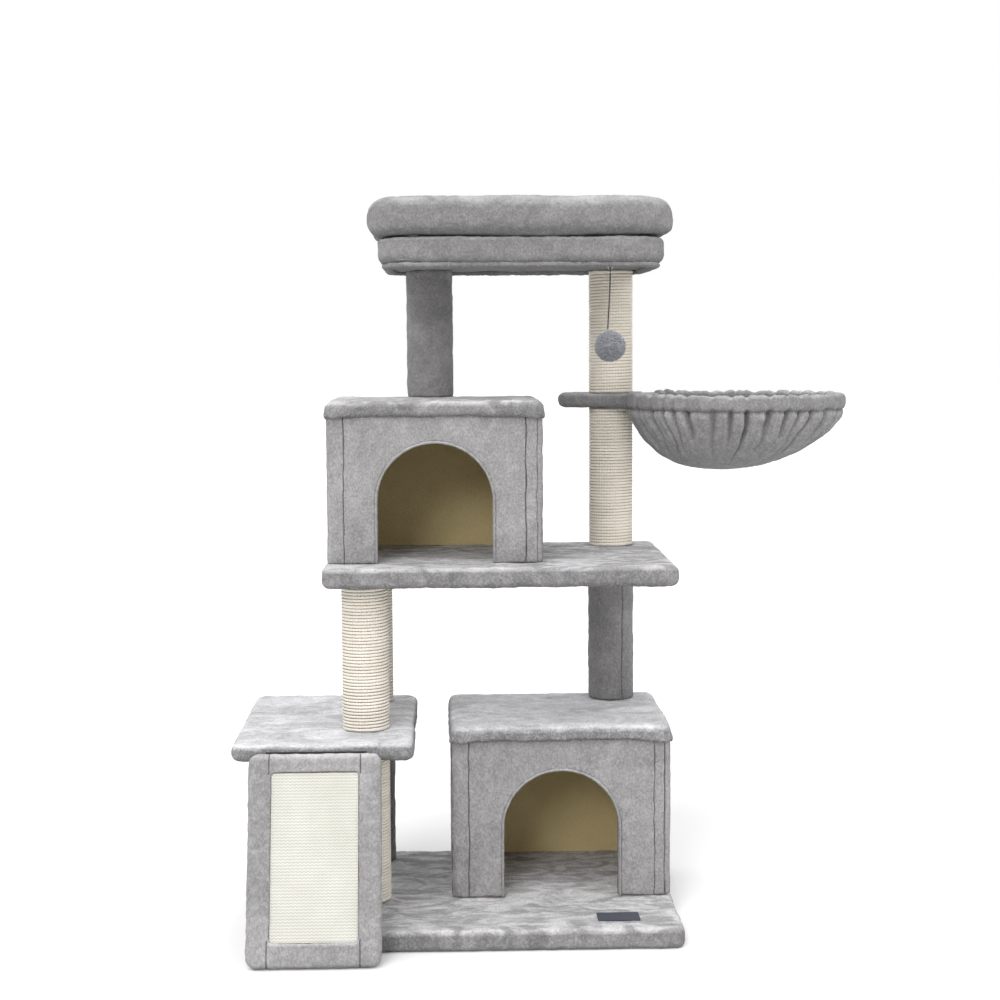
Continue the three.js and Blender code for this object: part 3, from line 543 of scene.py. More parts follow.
def sew(obj, lines, width=1.7 * MM, depth=4.0 * MM, wander=1.5 * MM):
    """Stitched lines, each as (a point, a direction across, a test of face centre and normal).

    The faces are cut along the line, whose points are pulled in and marked so that the
    material paints shade along the groove.
    """
    bm = bmesh.new()
    bm.from_mesh(obj.data)
    groove_shade_mark = bm.verts.layers.float.new("seam")
    for at, across, region in lines:
        at, across = Vector(at), Vector(across).normalized()
        bm.normal_update()
        near = [f for f in bm.faces if abs((f.verts[0].co - at).dot(across)) < SEAM_REACH]
        near = [f for f in near if region(f.calc_center_median(), f.normal)]
        part = [*near, *{e for f in near for e in f.edges}, *{v for f in near for v in f.verts}]
        for offset in (-width, width, 0.0):
            place = at + across * offset
            cut = bmesh.ops.bisect_plane(
                bm, geom=part, plane_co=place, plane_no=across, dist=0.02 * MM
            )
            part = cut["geom"]
        bm.normal_update()
        for v in verts_of(cut["geom_cut"]):
            v.co -= v.normal * depth
            v[groove_shade_mark] = 1.0
    bmesh.ops.triangulate(bm, faces=[f for f in bm.faces if len(f.verts) > 4])
    bm.normal_update()
    for f in bm.faces:
        f.smooth = True
    bm.to_mesh(obj.data)
    bm.free()
    points = read_points(obj.data)
    for at, across, _ in lines:
        across = np.array(Vector(across).normalized())
        away = (points - np.array(at)) @ across
        pull = wander * uneven(points / (16 * MM)) * np.exp(-((away / (7 * MM)) ** 2))
        points += pull[:, None] * across
    write_points(obj.data, points)
    return obj


def press_flat(obj, floor):
    """Keeps a piece above what it lies on."""
    points = read_points(obj.data)
    points[:, 2] = np.maximum(points[:, 2], floor)
    write_points(obj.data, points)


def smooth_shaded(obj):
    obj.data.shade_smooth()
    return obj


def finished(obj, finish, slot, body, *nodes):
    """Gives a piece its material, sets it on its body and hides what it stands for. slot is not
    used.
    """
    obj.data.materials.clear()
    obj.data.materials.append(MATERIALS[finish])
    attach(obj, body)
    if nodes:
        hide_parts(*nodes)
    return obj


def middle_of(node):
    low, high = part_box(node)
    return (low + high) / 2


# ---- Covered boards ----

BOARDS = ("base", "left_platform", "middle_platform", "lower_condo_roof", "upper_condo_roof")
CELL = 3.6 * MM
BOARD_CORNER = 16 * MM
BOARD_EDGE = 10 * MM
ROOF_EDGE = 9.5 * MM
ROOF_DROOP = 8 * MM
POCKET_GAP = 0.3 * MM
POCKET_CORNER = 9 * MM
POCKET_EDGE = 0.2 * MM


def hollow(obj, board, corner=POCKET_CORNER):
    """Opens the pocket inside a cover that its board fills."""
    low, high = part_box(board)
    gap = Vector((POCKET_GAP,) * 3)
    bm = bmesh.new()
    bm.from_mesh(obj.data)
    inner = slab(low - gap, high + gap, corner, POCKET_EDGE, edge_steps=1)
    bmesh.ops.reverse_faces(inner, faces=inner.faces)
    mesh = bpy.data.meshes.new("pocket")
    inner.to_mesh(mesh)
    inner.free()
    bm.from_mesh(mesh)
    bm.to_mesh(obj.data)
    bm.free()
    bpy.data.meshes.remove(mesh)
    return obj


def sag_lip(obj, low, high):
    """Lets the roof's edge roll hang over the walls, lowest at the two front corners."""
    points = read_points(obj.data)
    x, y, z = points.T
    from_front = y - low.y
    from_side = np.minimum(x - low.x, high.x - x)
    inside = np.minimum(np.minimum(from_side, from_front), high.y - y)
    lip = np.clip(1 - inside / (14 * MM), 0, 1)
    corner = ROOF_DROOP * np.exp(-((from_side / (38 * MM)) ** 2) - (from_front / (60 * MM)) ** 2)
    wave = uneven(np.stack([x * 24, y * 24, np.full_like(x, low.z * 9)], axis=1))
    fall = corner + 3.6 * MM + 1.2 * MM * wave
    points[:, 2] -= lip * fall * np.where(z < high.z - 4 * MM, 1.0, 0.5)
    write_points(obj.data, points)


def add_boards():
    for node in BOARDS:
        roof = node.endswith("roof")
        low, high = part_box(f"{node}_cover")
        edge = ROOF_EDGE if roof else BOARD_EDGE
        obj = evened(from_bmesh(f"{node}_plush", slab(low, high, BOARD_CORNER, edge)), CELL)
        if roof:
            sag_lip(obj, low, high)
        grow_pile(obj)
        hollow(obj, f"{node}_board")
        press_flat(obj, 0.0)
        # The left platform and the lower roof get tops painted lighter, as light; the roof lies in
        # the middle platform's shade.
        finish = "painted_light_tops" if node in ("left_platform", "lower_condo_roof") else "tops_shaded_fronts"
        finished(obj, finish, "plush", "frame", f"{node}_cover")


# ---- Boxes ----

CONDO_CELL = 2.9 * MM
WALL_SEAM_INSET = 25 * MM


def add_condo_walls(condo):
    node = f"{condo}_sleeve"
    low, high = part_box(node)
    obj = evened(cad_copy(f"{condo}_plush", node), CONDO_CELL)
    grow_pile(obj, 0.8)

    def on_front(centre, normal):
        return centre.y < low.y + 4 * MM and normal.y < -0.4

    def on_side(sign):
        return lambda centre, normal: normal.x * sign > 0.5

    lines = []
    for x in (low.x + WALL_SEAM_INSET, high.x - WALL_SEAM_INSET, high.x - 9 * MM):
        lines.append(((x, low.y, low.z), (1, 0, 0), on_front))
    for sign in (-1, 1):
        for y in (low.y + 9 * MM, high.y - WALL_SEAM_INSET):
            lines.append(((0, y, low.z), (0, 1, 0), on_side(sign)))
    sew(obj, lines)
    finished(obj, "walls", "plush", "frame", node)
    add_door_edge(condo)


DOOR_LEG_STEPS = 40
DOOR_ARCH_STEPS = 90


def run_straight(bm, edges, rise):
    """Extrudes a ring of edges up or down in even steps."""
    for _ in range(DOOR_LEG_STEPS):
        made = bmesh.ops.extrude_edge_only(bm, edges=edges)["geom"]
        verts = verts_of(made)
        edges = [e for e in edges_of(made) if e.is_boundary and all(v in verts for v in e.verts)]
        bmesh.ops.translate(bm, verts=verts, vec=(0, 0, rise / DOOR_LEG_STEPS))
    return verts, edges


def add_door_edge(condo):
    """The plush folded round the door's edge, back to the lining."""
    sleeve_low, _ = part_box(f"{condo}_sleeve")
    lining_low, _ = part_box(f"{condo}_lining")
    size = DOORS[condo]
    x, bottom = middle_of(f"{condo}_lining").x, sleeve_low.z + 0.5 * MM
    radius, spring = size[0] / 2, sleeve_low.z + size[1] - size[0] / 2
    front, back = sleeve_low.y - 0.6 * MM, lining_low.y + 2 * MM
    thick, bead = 1.5 * MM, 1.3 * MM
    section = [
        (radius + 2.6 * MM, front),
        (radius + 0.4 * MM, front - bead),
        (radius - thick * 0.7, front - bead * 0.4),
        (radius - thick, front + 2 * MM),
        (radius - thick, (front + back) / 2),
        (radius - thick, back),
        (radius + 0.1 * MM, back),
        (radius + 0.1 * MM, front + 3 * MM),
    ]
    bm = bmesh.new()
    ring, edges = closed_ring(bm, [(x + out, y, bottom) for out, y in section])
    bm.faces.new(ring)
    verts, edges = run_straight(bm, edges, spring - bottom)
    turned = sweep_round(
        bm, [*verts, *edges], (x, 0, spring), math.pi, DOOR_ARCH_STEPS, axis=(0, -1, 0)
    )
    _, edges = run_straight(bm, edges_of(turned), bottom - spring)
    bmesh.ops.contextual_create(bm, geom=edges)
    bmesh.ops.recalc_face_normals(bm, faces=bm.faces)
    obj = smooth_shaded(from_bmesh(f"{condo}_door_edge", bm))
    grow_pile(obj, 0.55, ((13 * MM, 0.6 * MM), (5 * MM, 0.8 * MM)))
    finished(obj, "walls", "plush", "frame")


def door_size(condo):
    """A door's width and height, from the front panel's opening."""
    low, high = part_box(f"{condo}_front_panel")
    points = [v.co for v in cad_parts[f"{condo}_sleeve"].data.vertices]
    front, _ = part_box(f"{condo}_sleeve")
    x = middle_of(f"{condo}_lining").x
    on_front = [p for p in points if p.y < front.y + 0.1 * MM and p.z < high.z - 1 * MM]
    inner = [p for p in on_front if abs(p.x - x) < (high.x - low.x) * 0.4]
    width = 2 * max(abs(p.x - x) for p in inner)
    return width, max(p.z for p in inner) - front.z


DOORS = {condo: door_size(condo) for condo in ("lower_condo", "upper_condo")}

# ---- Posts ----

ROPE_RADIUS = 2.35 * MM
ROPE_PITCH = 4.72 * MM
ROPE_SIDES = 8
ROPE_SLACK = 0.28 * MM
ROPE_STEPS = 30


def rope_section(middle):
    """The rope's round outline, standing up round a place beside the post."""
    return [middle + Vector((x, 0, z)) * ROPE_RADIUS for x, z in circle(ROPE_SIDES)]


def add_rope(post):
    """Sisal rope wound round a post's core from bottom to top, with a level turn at each end."""
    low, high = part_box(f"{post}_sisal")
    core_low, core_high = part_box(f"{post}_core")
    centre = middle_of(f"{post}_sisal")
    lay_radius = (core_high.x - core_low.x) / 2 + ROPE_RADIUS + 0.1 * MM
    climb = high.z - low.z - 2 * ROPE_RADIUS
    # It starts at the left and ends at the right, so both ends lie off the front.
    turns = round(climb / ROPE_PITCH - 0.5) + 0.5
    pitch = climb / turns
    bm = bmesh.new()
    steps = round(turns * ROPE_STEPS)
    start = Vector((centre.x - lay_radius, centre.y, low.z + ROPE_RADIUS))
    sweep_capped(bm, rope_section(start), centre, FULL_TURN * turns, steps, climb)
    # The last turn at each end is drawn in flat, so no core shows beside the slope.
    for height in (low.z + ROPE_RADIUS, high.z - ROPE_RADIUS):
        middle = Vector((centre.x, centre.y, height))
        ring, edges = closed_ring(bm, rope_section(middle + Vector((lay_radius, 0, 0))))
        sweep_round(bm, [*ring, *edges], middle, FULL_TURN, 2 * ROPE_STEPS, merge=True)
    bmesh.ops.recalc_face_normals(bm, faces=bm.faces)
    lay = bm.verts.layers.float_vector.new("lay")
    seed = sum(ord(letter) for letter in post) * 0.173
    for v in bm.verts:
        out = Vector((v.co.x - centre.x, v.co.y - centre.y))
        turn = ((math.atan2(out.y, out.x) + math.pi) % FULL_TURN) / FULL_TURN
        height = (v.co.z - low.z - ROPE_RADIUS) / pitch
        wound = round(height - turn) + turn
        rise = v.co.z - (low.z + ROPE_RADIUS + wound * pitch)
        around = math.atan2(rise, out.length - lay_radius)
        v[lay] = (wound * FULL_TURN * lay_radius, around, 0)
        slack = noise.noise(Vector((wound * 0.37, seed, 0))) * ROPE_SLACK
        v.co += Vector((out.x, out.y, 0)).normalized() * slack
    obj = smooth_shaded(from_bmesh(f"{post}_rope", bm))
    return finished(obj, "sisal", "sisal", "frame", f"{post}_sisal")


def add_plush_wrap(post, seam_turn):
    """Plush glued round a core. Its seam stands seam_turn degrees to the right of the front."""
    low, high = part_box(f"{post}_plush")
    core_low, core_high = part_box(f"{post}_core")
    centre = middle_of(f"{post}_plush")
    outside, inside = (high.x - low.x) / 2, (core_high.x - core_low.x) / 2 + 0.4 * MM
    height = high.z - low.z
    rows, around = round(height / CELL), round(FULL_TURN * outside / CELL)
    bm = bmesh.new()
    step = Matrix.Translation((centre.x, centre.y, low.z))
    profile = [(inside, 0), (outside - 1.5 * MM, 0), (outside, 2 * MM)]
    profile += [(outside, 2 * MM + (height - 4 * MM) * i / rows) for i in range(1, rows + 1)]
    profile += [(outside - 1.5 * MM, height), (inside, height)]
    verts, edges = closed_ring(bm, [step @ Vector((0, -radius, z)) for radius, z in profile])
    middle = (centre.x, centre.y, 0)
    sweep_round(bm, [*verts, *edges], middle, FULL_TURN, around, merge=True)
    bmesh.ops.remove_doubles(bm, verts=bm.verts, dist=WELD)
    bmesh.ops.recalc_face_normals(bm, faces=bm.faces)
    obj = smooth_shaded(from_bmesh(f"{post}_wrap", bm))
    grow_pile(obj, 0.9)
    turn = math.radians(seam_turn)
    out = Vector((math.sin(turn), -math.cos(turn), 0))
    across = Vector((math.cos(turn), math.sin(turn), 0))

    def near_seam(place, normal):
        return (place - centre).dot(out) > 0.4 * outside and normal.dot(out) > 0.2

    sew(obj, [(centre, across, near_seam)], width=2.2 * MM, depth=4.2 * MM)
    return finished(obj, "shaded_rolls", "plush", "frame", f"{post}_plush")


def add_posts():
    for post in (
        "left_front_lower_post",
        "left_front_upper_post",
        "left_rear_upper_post",
        "right_middle_post",
        "right_upper_post",
    ):
        add_rope(post)
    add_plush_wrap("right_lower_post", 24)
    add_plush_wrap("left_rear_lower_post", 200)
    add_plush_wrap("top_left_post", 165)


# ---- Perch ----

PERCH_CORNER = 60 * MM
PERCH_EDGE = 7 * MM
PERCH_UNDER_ROUND = 17 * MM
PERCH_CELL = 3.2 * MM
PERCH_POCKET_CORNER = PERCH_CORNER - 5.2 * MM
BOLSTER_CORNER = 77 * MM
BOLSTER_SIDES = 30
# The perch's hem: how far in it lies, how low its middle is, its radius and its sides.
PERCH_HEM_INSET = 12.5 * MM
PERCH_HEM_DROP = 1.6 * MM
PERCH_HEM_RADIUS = 4.2 * MM
PERCH_HEM_SIDES = 14
# Stuffed pieces: the size of their quads, how far they swell and in how many steps.
STUFFED_CELL = 5 * MM
MOST_SWELL = 5 * MM
SWELL_STEPS = 20
CLOTH = {
    "quality": 5,
    "mass": 0.3,
    "tension_stiffness": 12,
    "compression_stiffness": 12,
    "shear_stiffness": 6,
    "bending_stiffness": 0.6,
    "use_pressure": True,
    "uniform_pressure_force": 4.0,
}


def inflate(obj):
    """Swells a closed piece as stuffing does, up to MOST_SWELL."""
    rest = read_points(obj.data)
    cloth = obj.modifiers.new("stuffing", "CLOTH")
    for setting, value in CLOTH.items():
        setattr(cloth.settings, setting, value)
    cloth.settings.effector_weights.gravity = 0
    cloth.point_cache.frame_start = 1
    cloth.point_cache.frame_end = SWELL_STEPS
    for step in range(1, SWELL_STEPS + 1):
        bpy.context.scene.frame_set(step)
    bake_modifiers(obj)
    bpy.context.scene.frame_set(1)
    moved = read_points(obj.data) - rest
    length = np.linalg.norm(moved, axis=1)[:, None]
    moved *= np.minimum(1, MOST_SWELL / np.maximum(length, 1e-9))
    write_points(obj.data, rest + moved)


def stuffed(obj, floor, layers=PILE):
    """A closed piece swollen with stuffing, with its pile, lying on what is under it."""
    evened(obj, STUFFED_CELL)
    inflate(obj)
    subdivide = obj.modifiers.new("refine", "SUBSURF")
    subdivide.levels = 1
    subdivide.render_levels = 1
    smooth_shaded(bake_modifiers(obj))
    grow_pile(obj, 1.0, layers)
    press_flat(obj, floor)
    return obj


def add_bolster():
    """The stuffed roll round the perch's edge."""
    low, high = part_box("perch_bolster")
    pad_low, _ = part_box("perch_pad")
    # It starts this much smaller all round, since stuffing swells it.
    start = 4 * MM
    radius = (high.z - low.z) / 2 - start
    width = pad_low.x - low.x - 2 * start
    outline = []
    for across, up in circle(BOLSTER_SIDES):
        bend = 0.8 if up > 0 else 0.55
        outline.append((squared(across, bend) * width / 2, squared(up, bend) * radius))
    route = rounded_route(low, high, BOLSTER_CORNER, width / 2 + start, 9 * MM)
    middle = (low.z + high.z) / 2
    obj = tube_along("perch_bolster_roll", route, middle, lambda place: outline)
    stuffed(obj, low.z, ((110 * MM, 3.0 * MM), *PILE))
    return finished(obj, "shaded_rolls", "plush", "frame", "perch_bolster")


def rounded_route(low, high, corner, inset, spacing):
    """Points round a rounded rectangle drawn in by inset, each with its way out."""
    aside = Vector((inset, inset, 0))
    low, high, corner = low + aside, high - aside, corner - inset
    route = []
    width, depth = high.x - low.x - 2 * corner, high.y - low.y - 2 * corner
    sides = (
        (Vector((low.x + corner, low.y, 0)), Vector((1, 0, 0)), width),
        (Vector((high.x, low.y + corner, 0)), Vector((0, 1, 0)), depth),
        (Vector((high.x - corner, high.y, 0)), Vector((-1, 0, 0)), width),
        (Vector((low.x, high.y - corner, 0)), Vector((0, -1, 0)), depth),
    )
    for start, along, length in sides:
        out = Vector((along.y, -along.x, 0))
        count = max(round(length / spacing), 1)
        route += [(start + along * length * i / count, out) for i in range(count)]
        centre = start + along * length - out * corner
        bends = max(round(corner * math.pi / 2 / spacing), 4)
        for i in range(bends):
            turn = math.pi / 2 * i / bends
            facing = out * math.cos(turn) + along * math.sin(turn)
            route.append((centre + facing * corner, facing))
    return route


def add_perch_pad():
    low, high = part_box("perch_pad")
    start = Vector((3 * MM, 3 * MM, 0))
    bm = slab(low + start, high - start - Vector((0, 0, 5 * MM)), 14 * MM, 5 * MM)
    obj = stuffed(from_bmesh("perch_cushion", bm), low.z)
    return finished(obj, "tops_shaded_fronts", "plush", "frame", "perch_pad")


def round_under(obj, low, high):
    """Draws the wrap in towards its underside."""
    points = read_points(obj.data)
    middle, half = np.array((low + high) / 2)[:2], np.array((high - low) / 2)[:2]
    rise = np.clip((points[:, 2] - low.z) / PERCH_UNDER_ROUND, 0, 1)
    inset = 0.62 * PERCH_UNDER_ROUND * (1 - np.sqrt(1 - (1 - rise) ** 2))
    points[:, :2] = middle + (points[:, :2] - middle) * (1 - inset[:, None] / half)
    write_points(obj.data, points)


def add_perch():
    low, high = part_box("perch_cover")
    obj = from_bmesh("perch_wrap", slab(low, high, PERCH_CORNER, PERCH_EDGE, 12, 6))
    evened(obj, PERCH_CELL)
    round_under(obj, low, high)
    grow_pile(obj, 1.1)
    hollow(obj, "perch_board", PERCH_POCKET_CORNER)
    finished(obj, "shaded_rolls", "plush", "frame", "perch_cover")
    add_perch_hem(low, high)
    add_bolster()
    add_perch_pad()


def add_perch_hem(low, high):
    """The wrap's edge, folded under and held along the underside."""

    def section(place):
        wobble = 1.1 * MM * noise.noise(Vector((place.x * 55, place.y * 55, 1.7)))
        swell = 1 + 0.35 * noise.noise(Vector((place.x * 140, place.y * 140, 6.2)))
        thick = PERCH_HEM_RADIUS
        return [
            (thick * 1.5 * swell * across + wobble, thick * swell * up + wobble * 0.5)
            for across, up in circle(PERCH_HEM_SIDES)
        ]

    route = rounded_route(low, high, PERCH_CORNER, PERCH_HEM_INSET, 4 * MM)
    hem = smooth_shaded(tube_along("perch_hem", route, low.z - PERCH_HEM_DROP, section))
    grow_pile(hem, 0.6, ((6 * MM, 0.8 * MM),))
    finished(hem, "shaded_rolls", "plush", "frame")


# ---- Hammock ----


def hammock_places():
    """The hoop's centre, and the direction from the post to it."""
    hoop = middle_of("hammock_hoop")
    post = middle_of("right_middle_post_core")
    towards = Vector((hoop.x - post.x, hoop.y - post.y, 0)).normalized()
    return hoop, towards


HOOP, TOWARDS = hammock_places()
HOOP_ANGLE = math.atan2(TOWARDS.y, TOWARDS.x)
HOOP_RADIUS = 155 * MM
# The hem's section: half its width, half its height, and its sides.
HEM_HALF = 8.5 * MM
HEM_HALF_HEIGHT = 11.5 * MM
HEM_SIDES = 22
# Steps in a whole turn of the bowl and in the hem's arc.
HOOP_STEPS = 560
# Half the arc that the plate takes, seen from the hoop's centre.
PLATE_HALF_TURN = math.radians(22.5)


def pleat(turn):
    """How far a fold stands out at an angle round the hoop: rounded folds, narrow gathers."""
    drift = 1.6 * noise.noise(Vector((math.cos(turn) * 2.1, math.sin(turn) * 2.1, 4.0)))
    wave = math.sin(36 * turn + drift * 3.6)
    sharp = 1 - 2 * (0.5 - 0.5 * wave) ** 3.0
    size = 0.85 + 0.7 * noise.noise(Vector((math.cos(turn) * 6, math.sin(turn) * 6, 9.0)))
    return sharp * size + 0.2 * math.sin(67 * turn + drift * 5)


def add_hem():
    """The tunnel of plush that the hoop runs through, bunched up towards the plate."""
    start = HOOP_ANGLE + math.pi + PLATE_HALF_TURN
    places = []
    for across, up in circle(HEM_SIDES):
        reach = HOOP_RADIUS + squared(across, 0.75) * HEM_HALF
        x, y = HOOP.x + reach * math.cos(start), HOOP.y + reach * math.sin(start)
        places.append((x, y, HOOP.z + squared(up, 0.75) * HEM_HALF_HEIGHT))
    bm = bmesh.new()
    sweep_capped(bm, places, HOOP, FULL_TURN - 2 * PLATE_HALF_TURN, HOOP_STEPS)
    bmesh.ops.recalc_face_normals(bm, faces=bm.faces)
    for v in bm.verts:
        flat = Vector((v.co.x - HOOP.x, v.co.y - HOOP.y))
        turn = math.atan2(flat.y, flat.x)
        gap = abs((turn - HOOP_ANGLE) % FULL_TURN - math.pi)
        near_plate = math.exp(-(((gap - PLATE_HALF_TURN) / 0.35) ** 2))
        folds = pleat(turn)
        bunch = 0.96 + folds * (0.13 + 0.12 * near_plate)
        section = Vector((flat.length - HOOP_RADIUS, v.co.z - HOOP.z)) * bunch
        section.y += 1.6 * MM * noise.noise(Vector((turn * 6, 0.3, 2))) + 2.2 * MM * near_plate
        flat = flat.normalized() * (HOOP_RADIUS + section.x)
        v.co = Vector((HOOP.x + flat.x, HOOP.y + flat.y, HOOP.z + section.y))
    obj = smooth_shaded(from_bmesh("hammock_hem", bm))
    grow_pile(obj, 0.8, ((13 * MM, 0.7 * MM), (5 * MM, 1.0 * MM)))
    return finished(obj, "shaded_rolls", "plush", "hammock")


# The bowl's outside from hem to floor, as shares of its depth and of its rim's radius.
BOWL_PROFILE = (
    *((0.0, 1.0), (0.07, 0.99), (0.15, 0.97), (0.3, 0.91), (0.45, 0.84), (0.6, 0.75)),
    *((0.75, 0.64), (0.87, 0.5), (0.95, 0.36), (1.0, 0.18), (1.01, 0.0)),
)
BOWL_THICKNESS = 4.5 * MM
BOWL_LEAN = 24 * MM
BOWL_ROWS = 56


def between(before, start, end, after, t):
    """A smooth curve's value at t from start to end."""
    rise = end - before
    bend = 2 * before - 5 * start + 4 * end - after
    twist = 3 * start - before - 3 * end + after
    return 0.5 * (2 * start + rise * t + bend * t * t + twist * t**3)


def bowl_outline(share):
    """How far down and out the bowl is at a share of its profile, from hem to floor."""
    spans = len(BOWL_PROFILE) - 1
    # The floor's middle counts as just inside the last span.
    place = min(share * spans, spans - WELD)
    i = int(place)
    near = [BOWL_PROFILE[min(max(i + k, 0), spans)] for k in (-1, 0, 1, 2)]
    return [between(*values, place - i) for values in zip(*near)]


def add_bowl():
    """The hammock's bowl: one gathered sheet hung from the hem, with folds that fade downwards."""
    low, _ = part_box("hammock_bowl")
    top = HOOP.z - 10.5 * MM
    depth = top - low.z
    rim = HOOP_RADIUS + HEM_HALF - 2.2 * MM
    bm = bmesh.new()
    line = []
    for i in range(BOWL_ROWS + 1):
        down, out = bowl_outline(i / BOWL_ROWS)
        line.append(bm.verts.new((HOOP.x + rim * max(out, 0.0), HOOP.y, top - depth * down)))
    edges = [bm.edges.new(pair) for pair in zip(line, line[1:])]
    sweep_round(bm, [*line, *edges], HOOP, FULL_TURN, HOOP_STEPS, merge=True)
    bmesh.ops.remove_doubles(bm, verts=bm.verts, dist=WELD)
    bmesh.ops.recalc_face_normals(bm, faces=bm.faces)
    # On the bowl the seam layer carries painted shade, not a seam.
    seam = bm.verts.layers.float.new("seam")
    for v in bm.verts:
        flat = Vector((v.co.x - HOOP.x, v.co.y - HOOP.y, 0))
        down = (top - v.co.z) / depth
        if flat.length < WELD:
            v.co -= TOWARDS * BOWL_LEAN
            continue
        turn = math.atan2(flat.y, flat.x)
        reach = 0.75 + 0.5 * noise.noise(Vector((turn * 9, 1.3, 0.2)))
        fade = max(0, 1 - (down / reach)) ** 0.8
        gather = math.exp(-((down / 0.045) ** 2))
        lean = turn + 0.12 * down * noise.noise(Vector((turn * 5, 7.7, down * 3)))
        folds = pleat(lean)
        fold = (folds - 0.7) * (8.0 * MM * fade * min(1, down / 0.05 + 0.3))
        fold -= 3.0 * MM * gather
        # A broad crease winds down round the bowl.
        crease = math.sin((turn - HOOP_ANGLE) * 1.5 + down * 5.0)
        fold += 1.5 * MM * crease * min(down * 2, 1)
        v.co += flat.normalized() * fold * min(1, flat.length / (40 * MM))
        v.co -= TOWARDS * BOWL_LEAN * down * down
        # Painted shade: darkest in the fold valleys and just under the hem's gather.
        v[seam] = max(gather * 0.8, min(0.35 - folds * 0.55, 1) * fade)
    obj = from_bmesh("hammock_sling", bm)
    wall = obj.modifiers.new("thickness", "SOLIDIFY")
    wall.thickness = BOWL_THICKNESS
    wall.offset = -1
    bake_modifiers(obj)
    smooth_shaded(obj)
    grow_pile(obj, 0.8, ((40 * MM, 0.9 * MM), (12 * MM, 0.6 * MM), (5 * MM, 0.7 * MM)))
    finished(obj, "walls", "plush", "hammock", "hammock_bowl")
    return obj


def clear_of_post(plate):
    """Flattens the plate's pile where the posts above and below bear on it."""
    low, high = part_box("hammock_plate_cover")
    post = middle_of("right_middle_post_core")
    points = read_points(plate.data)
    near = np.hypot(points[:, 0] - post.x, points[:, 1] - post.y) < 42 * MM
    points[near, 2] = np.clip(points[near, 2], low.z + 0.1 * MM, high.z - 0.1 * MM)
    write_points(plate.data, points)


def add_hammock():
    plate = evened(cad_copy("hammock_plate_plush", "hammock_plate_cover"), 2.6 * MM)
    grow_pile(plate, 0.8)
    clear_of_post(plate)
    finished(plate, "shaded_rolls", "plush", "hammock", "hammock_plate_cover")
    hem = add_hem()
    bowl = add_bowl()


# ---- Ramp ----


def ramp_frame():
    """The ramp's foot, its direction up the slope and the direction out of its face."""
    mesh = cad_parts["ramp_mat"].data
    points = np.array([v.co for v in mesh.vertices])
    top = points[points[:, 2] > points[:, 2].max() - 4 * MM].mean(axis=0)
    bottom = points[points[:, 2] < points[:, 2].min() + 4 * MM].mean(axis=0)
    up = Vector(top - bottom)
    up.x = 0
    up.normalize()
    return Vector(bottom), up, Vector((0, -up.z, up.y))


def add_ramp():
    foot, up, out = ramp_frame()
    mat_low, mat_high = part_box("ramp_mat")
    cover = evened(cad_copy("ramp_plush", "ramp_cover"), 2.8 * MM)
    grow_pile(cover, 0.8)
    mat_length = (mat_high.z - mat_low.z) / up.z

    def border(above):
        def test(centre, normal):
            climb = (centre - foot).dot(up)
            past = climb > mat_length - 6 * MM if above else climb < 2 * MM
            return past and normal.dot(out) > -0.3 and (centre - foot).dot(out) > -9 * MM

        return test

    lines = []
    for x in (mat_low.x - 3 * MM, mat_high.x + 3 * MM):
        for above in (True, False):
            lines.append(((x, foot.y, foot.z), (1, 0, 0), border(above)))
    sew(cover, lines, width=1.6 * MM, depth=3.4 * MM, wander=0.0)
    press_flat(cover, 0.0)
    finished(cover, "walls", "plush", "ramp", "ramp_cover")
    add_mat(foot, up, out)


RIB_PITCH = 4.2 * MM
STITCH_PITCH = 5.6 * MM
MAT_CELL = 0.9 * MM
WEAVE_RISE = 1.0 * MM


def weave(across, along):
    """The woven mat's height, from 0 to 1: rows that zigzag across."""
    zigzag = abs((across / STITCH_PITCH) % 1 - 0.5) * 2
    rib = 0.5 + 0.5 * math.cos(2 * math.pi * (along / RIB_PITCH + 0.36 * zigzag))
    stitch = 0.76 + 0.24 * math.cos(4 * math.pi * across / STITCH_PITCH)
    return rib * stitch


def add_mat(foot, up, out):
    low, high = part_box("ramp_mat")
    width = high.x - low.x
    length = (high.z - low.z) / up.z - 1 * MM
    depths = [(v.co - foot).dot(out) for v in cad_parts["ramp_mat"].data.vertices]
    back, front = min(depths), max(depths)
    centre = middle_of("ramp_mat")
    centre = foot + up * (centre - foot).dot(up)
    bm = bmesh.new()
    columns, rows = round(width / MAT_CELL), round(length / MAT_CELL)
    bmesh.ops.create_grid(bm, x_segments=columns, y_segments=rows, size=0.5)
    raised = bm.verts.layers.float.new("weave")
    turn = Matrix((Vector((1, 0, 0)), up, out)).transposed()
    base = Vector(((low.x + high.x) / 2, centre.y, centre.z))
    for v in bm.verts:
        across, along = v.co.x * width, v.co.y * length
        edge = min(width / 2 - abs(across), length / 2 - abs(along)) / (2 * MM)
        height = weave(across, along)
        v[raised] = height
        lift = front - 0.6 * MM + WEAVE_RISE * (height - 0.5) * min(max(edge, 0), 1)
        v.co = base + turn @ Vector((across, along, lift))
    bm.normal_update()
    obj = from_bmesh("ramp_weave", bm)
    body = obj.modifiers.new("thickness", "SOLIDIFY")
    body.thickness = front - back - 1.6 * MM
    body.offset = -1
    bake_modifiers(obj)
    smooth_shaded(obj)
    return finished(obj, "mat", "sisal", "ramp", "ramp_mat")


# ---- Toy ----

# How far left of its loop the string hangs, in mm, at every 5 mm down.
STRING_DRIFT = (
    *(0, 0.05, 0.13, 0.25, 0.4, 0.6, 0.8, 1.05, 1.3),
    *(1.57, 1.85, 2.12, 2.4, 2.67, 2.95, 3.22, 3.5),
)
STRING_STEP = 5 * MM
STRING_DIAMETER = 2 * MM


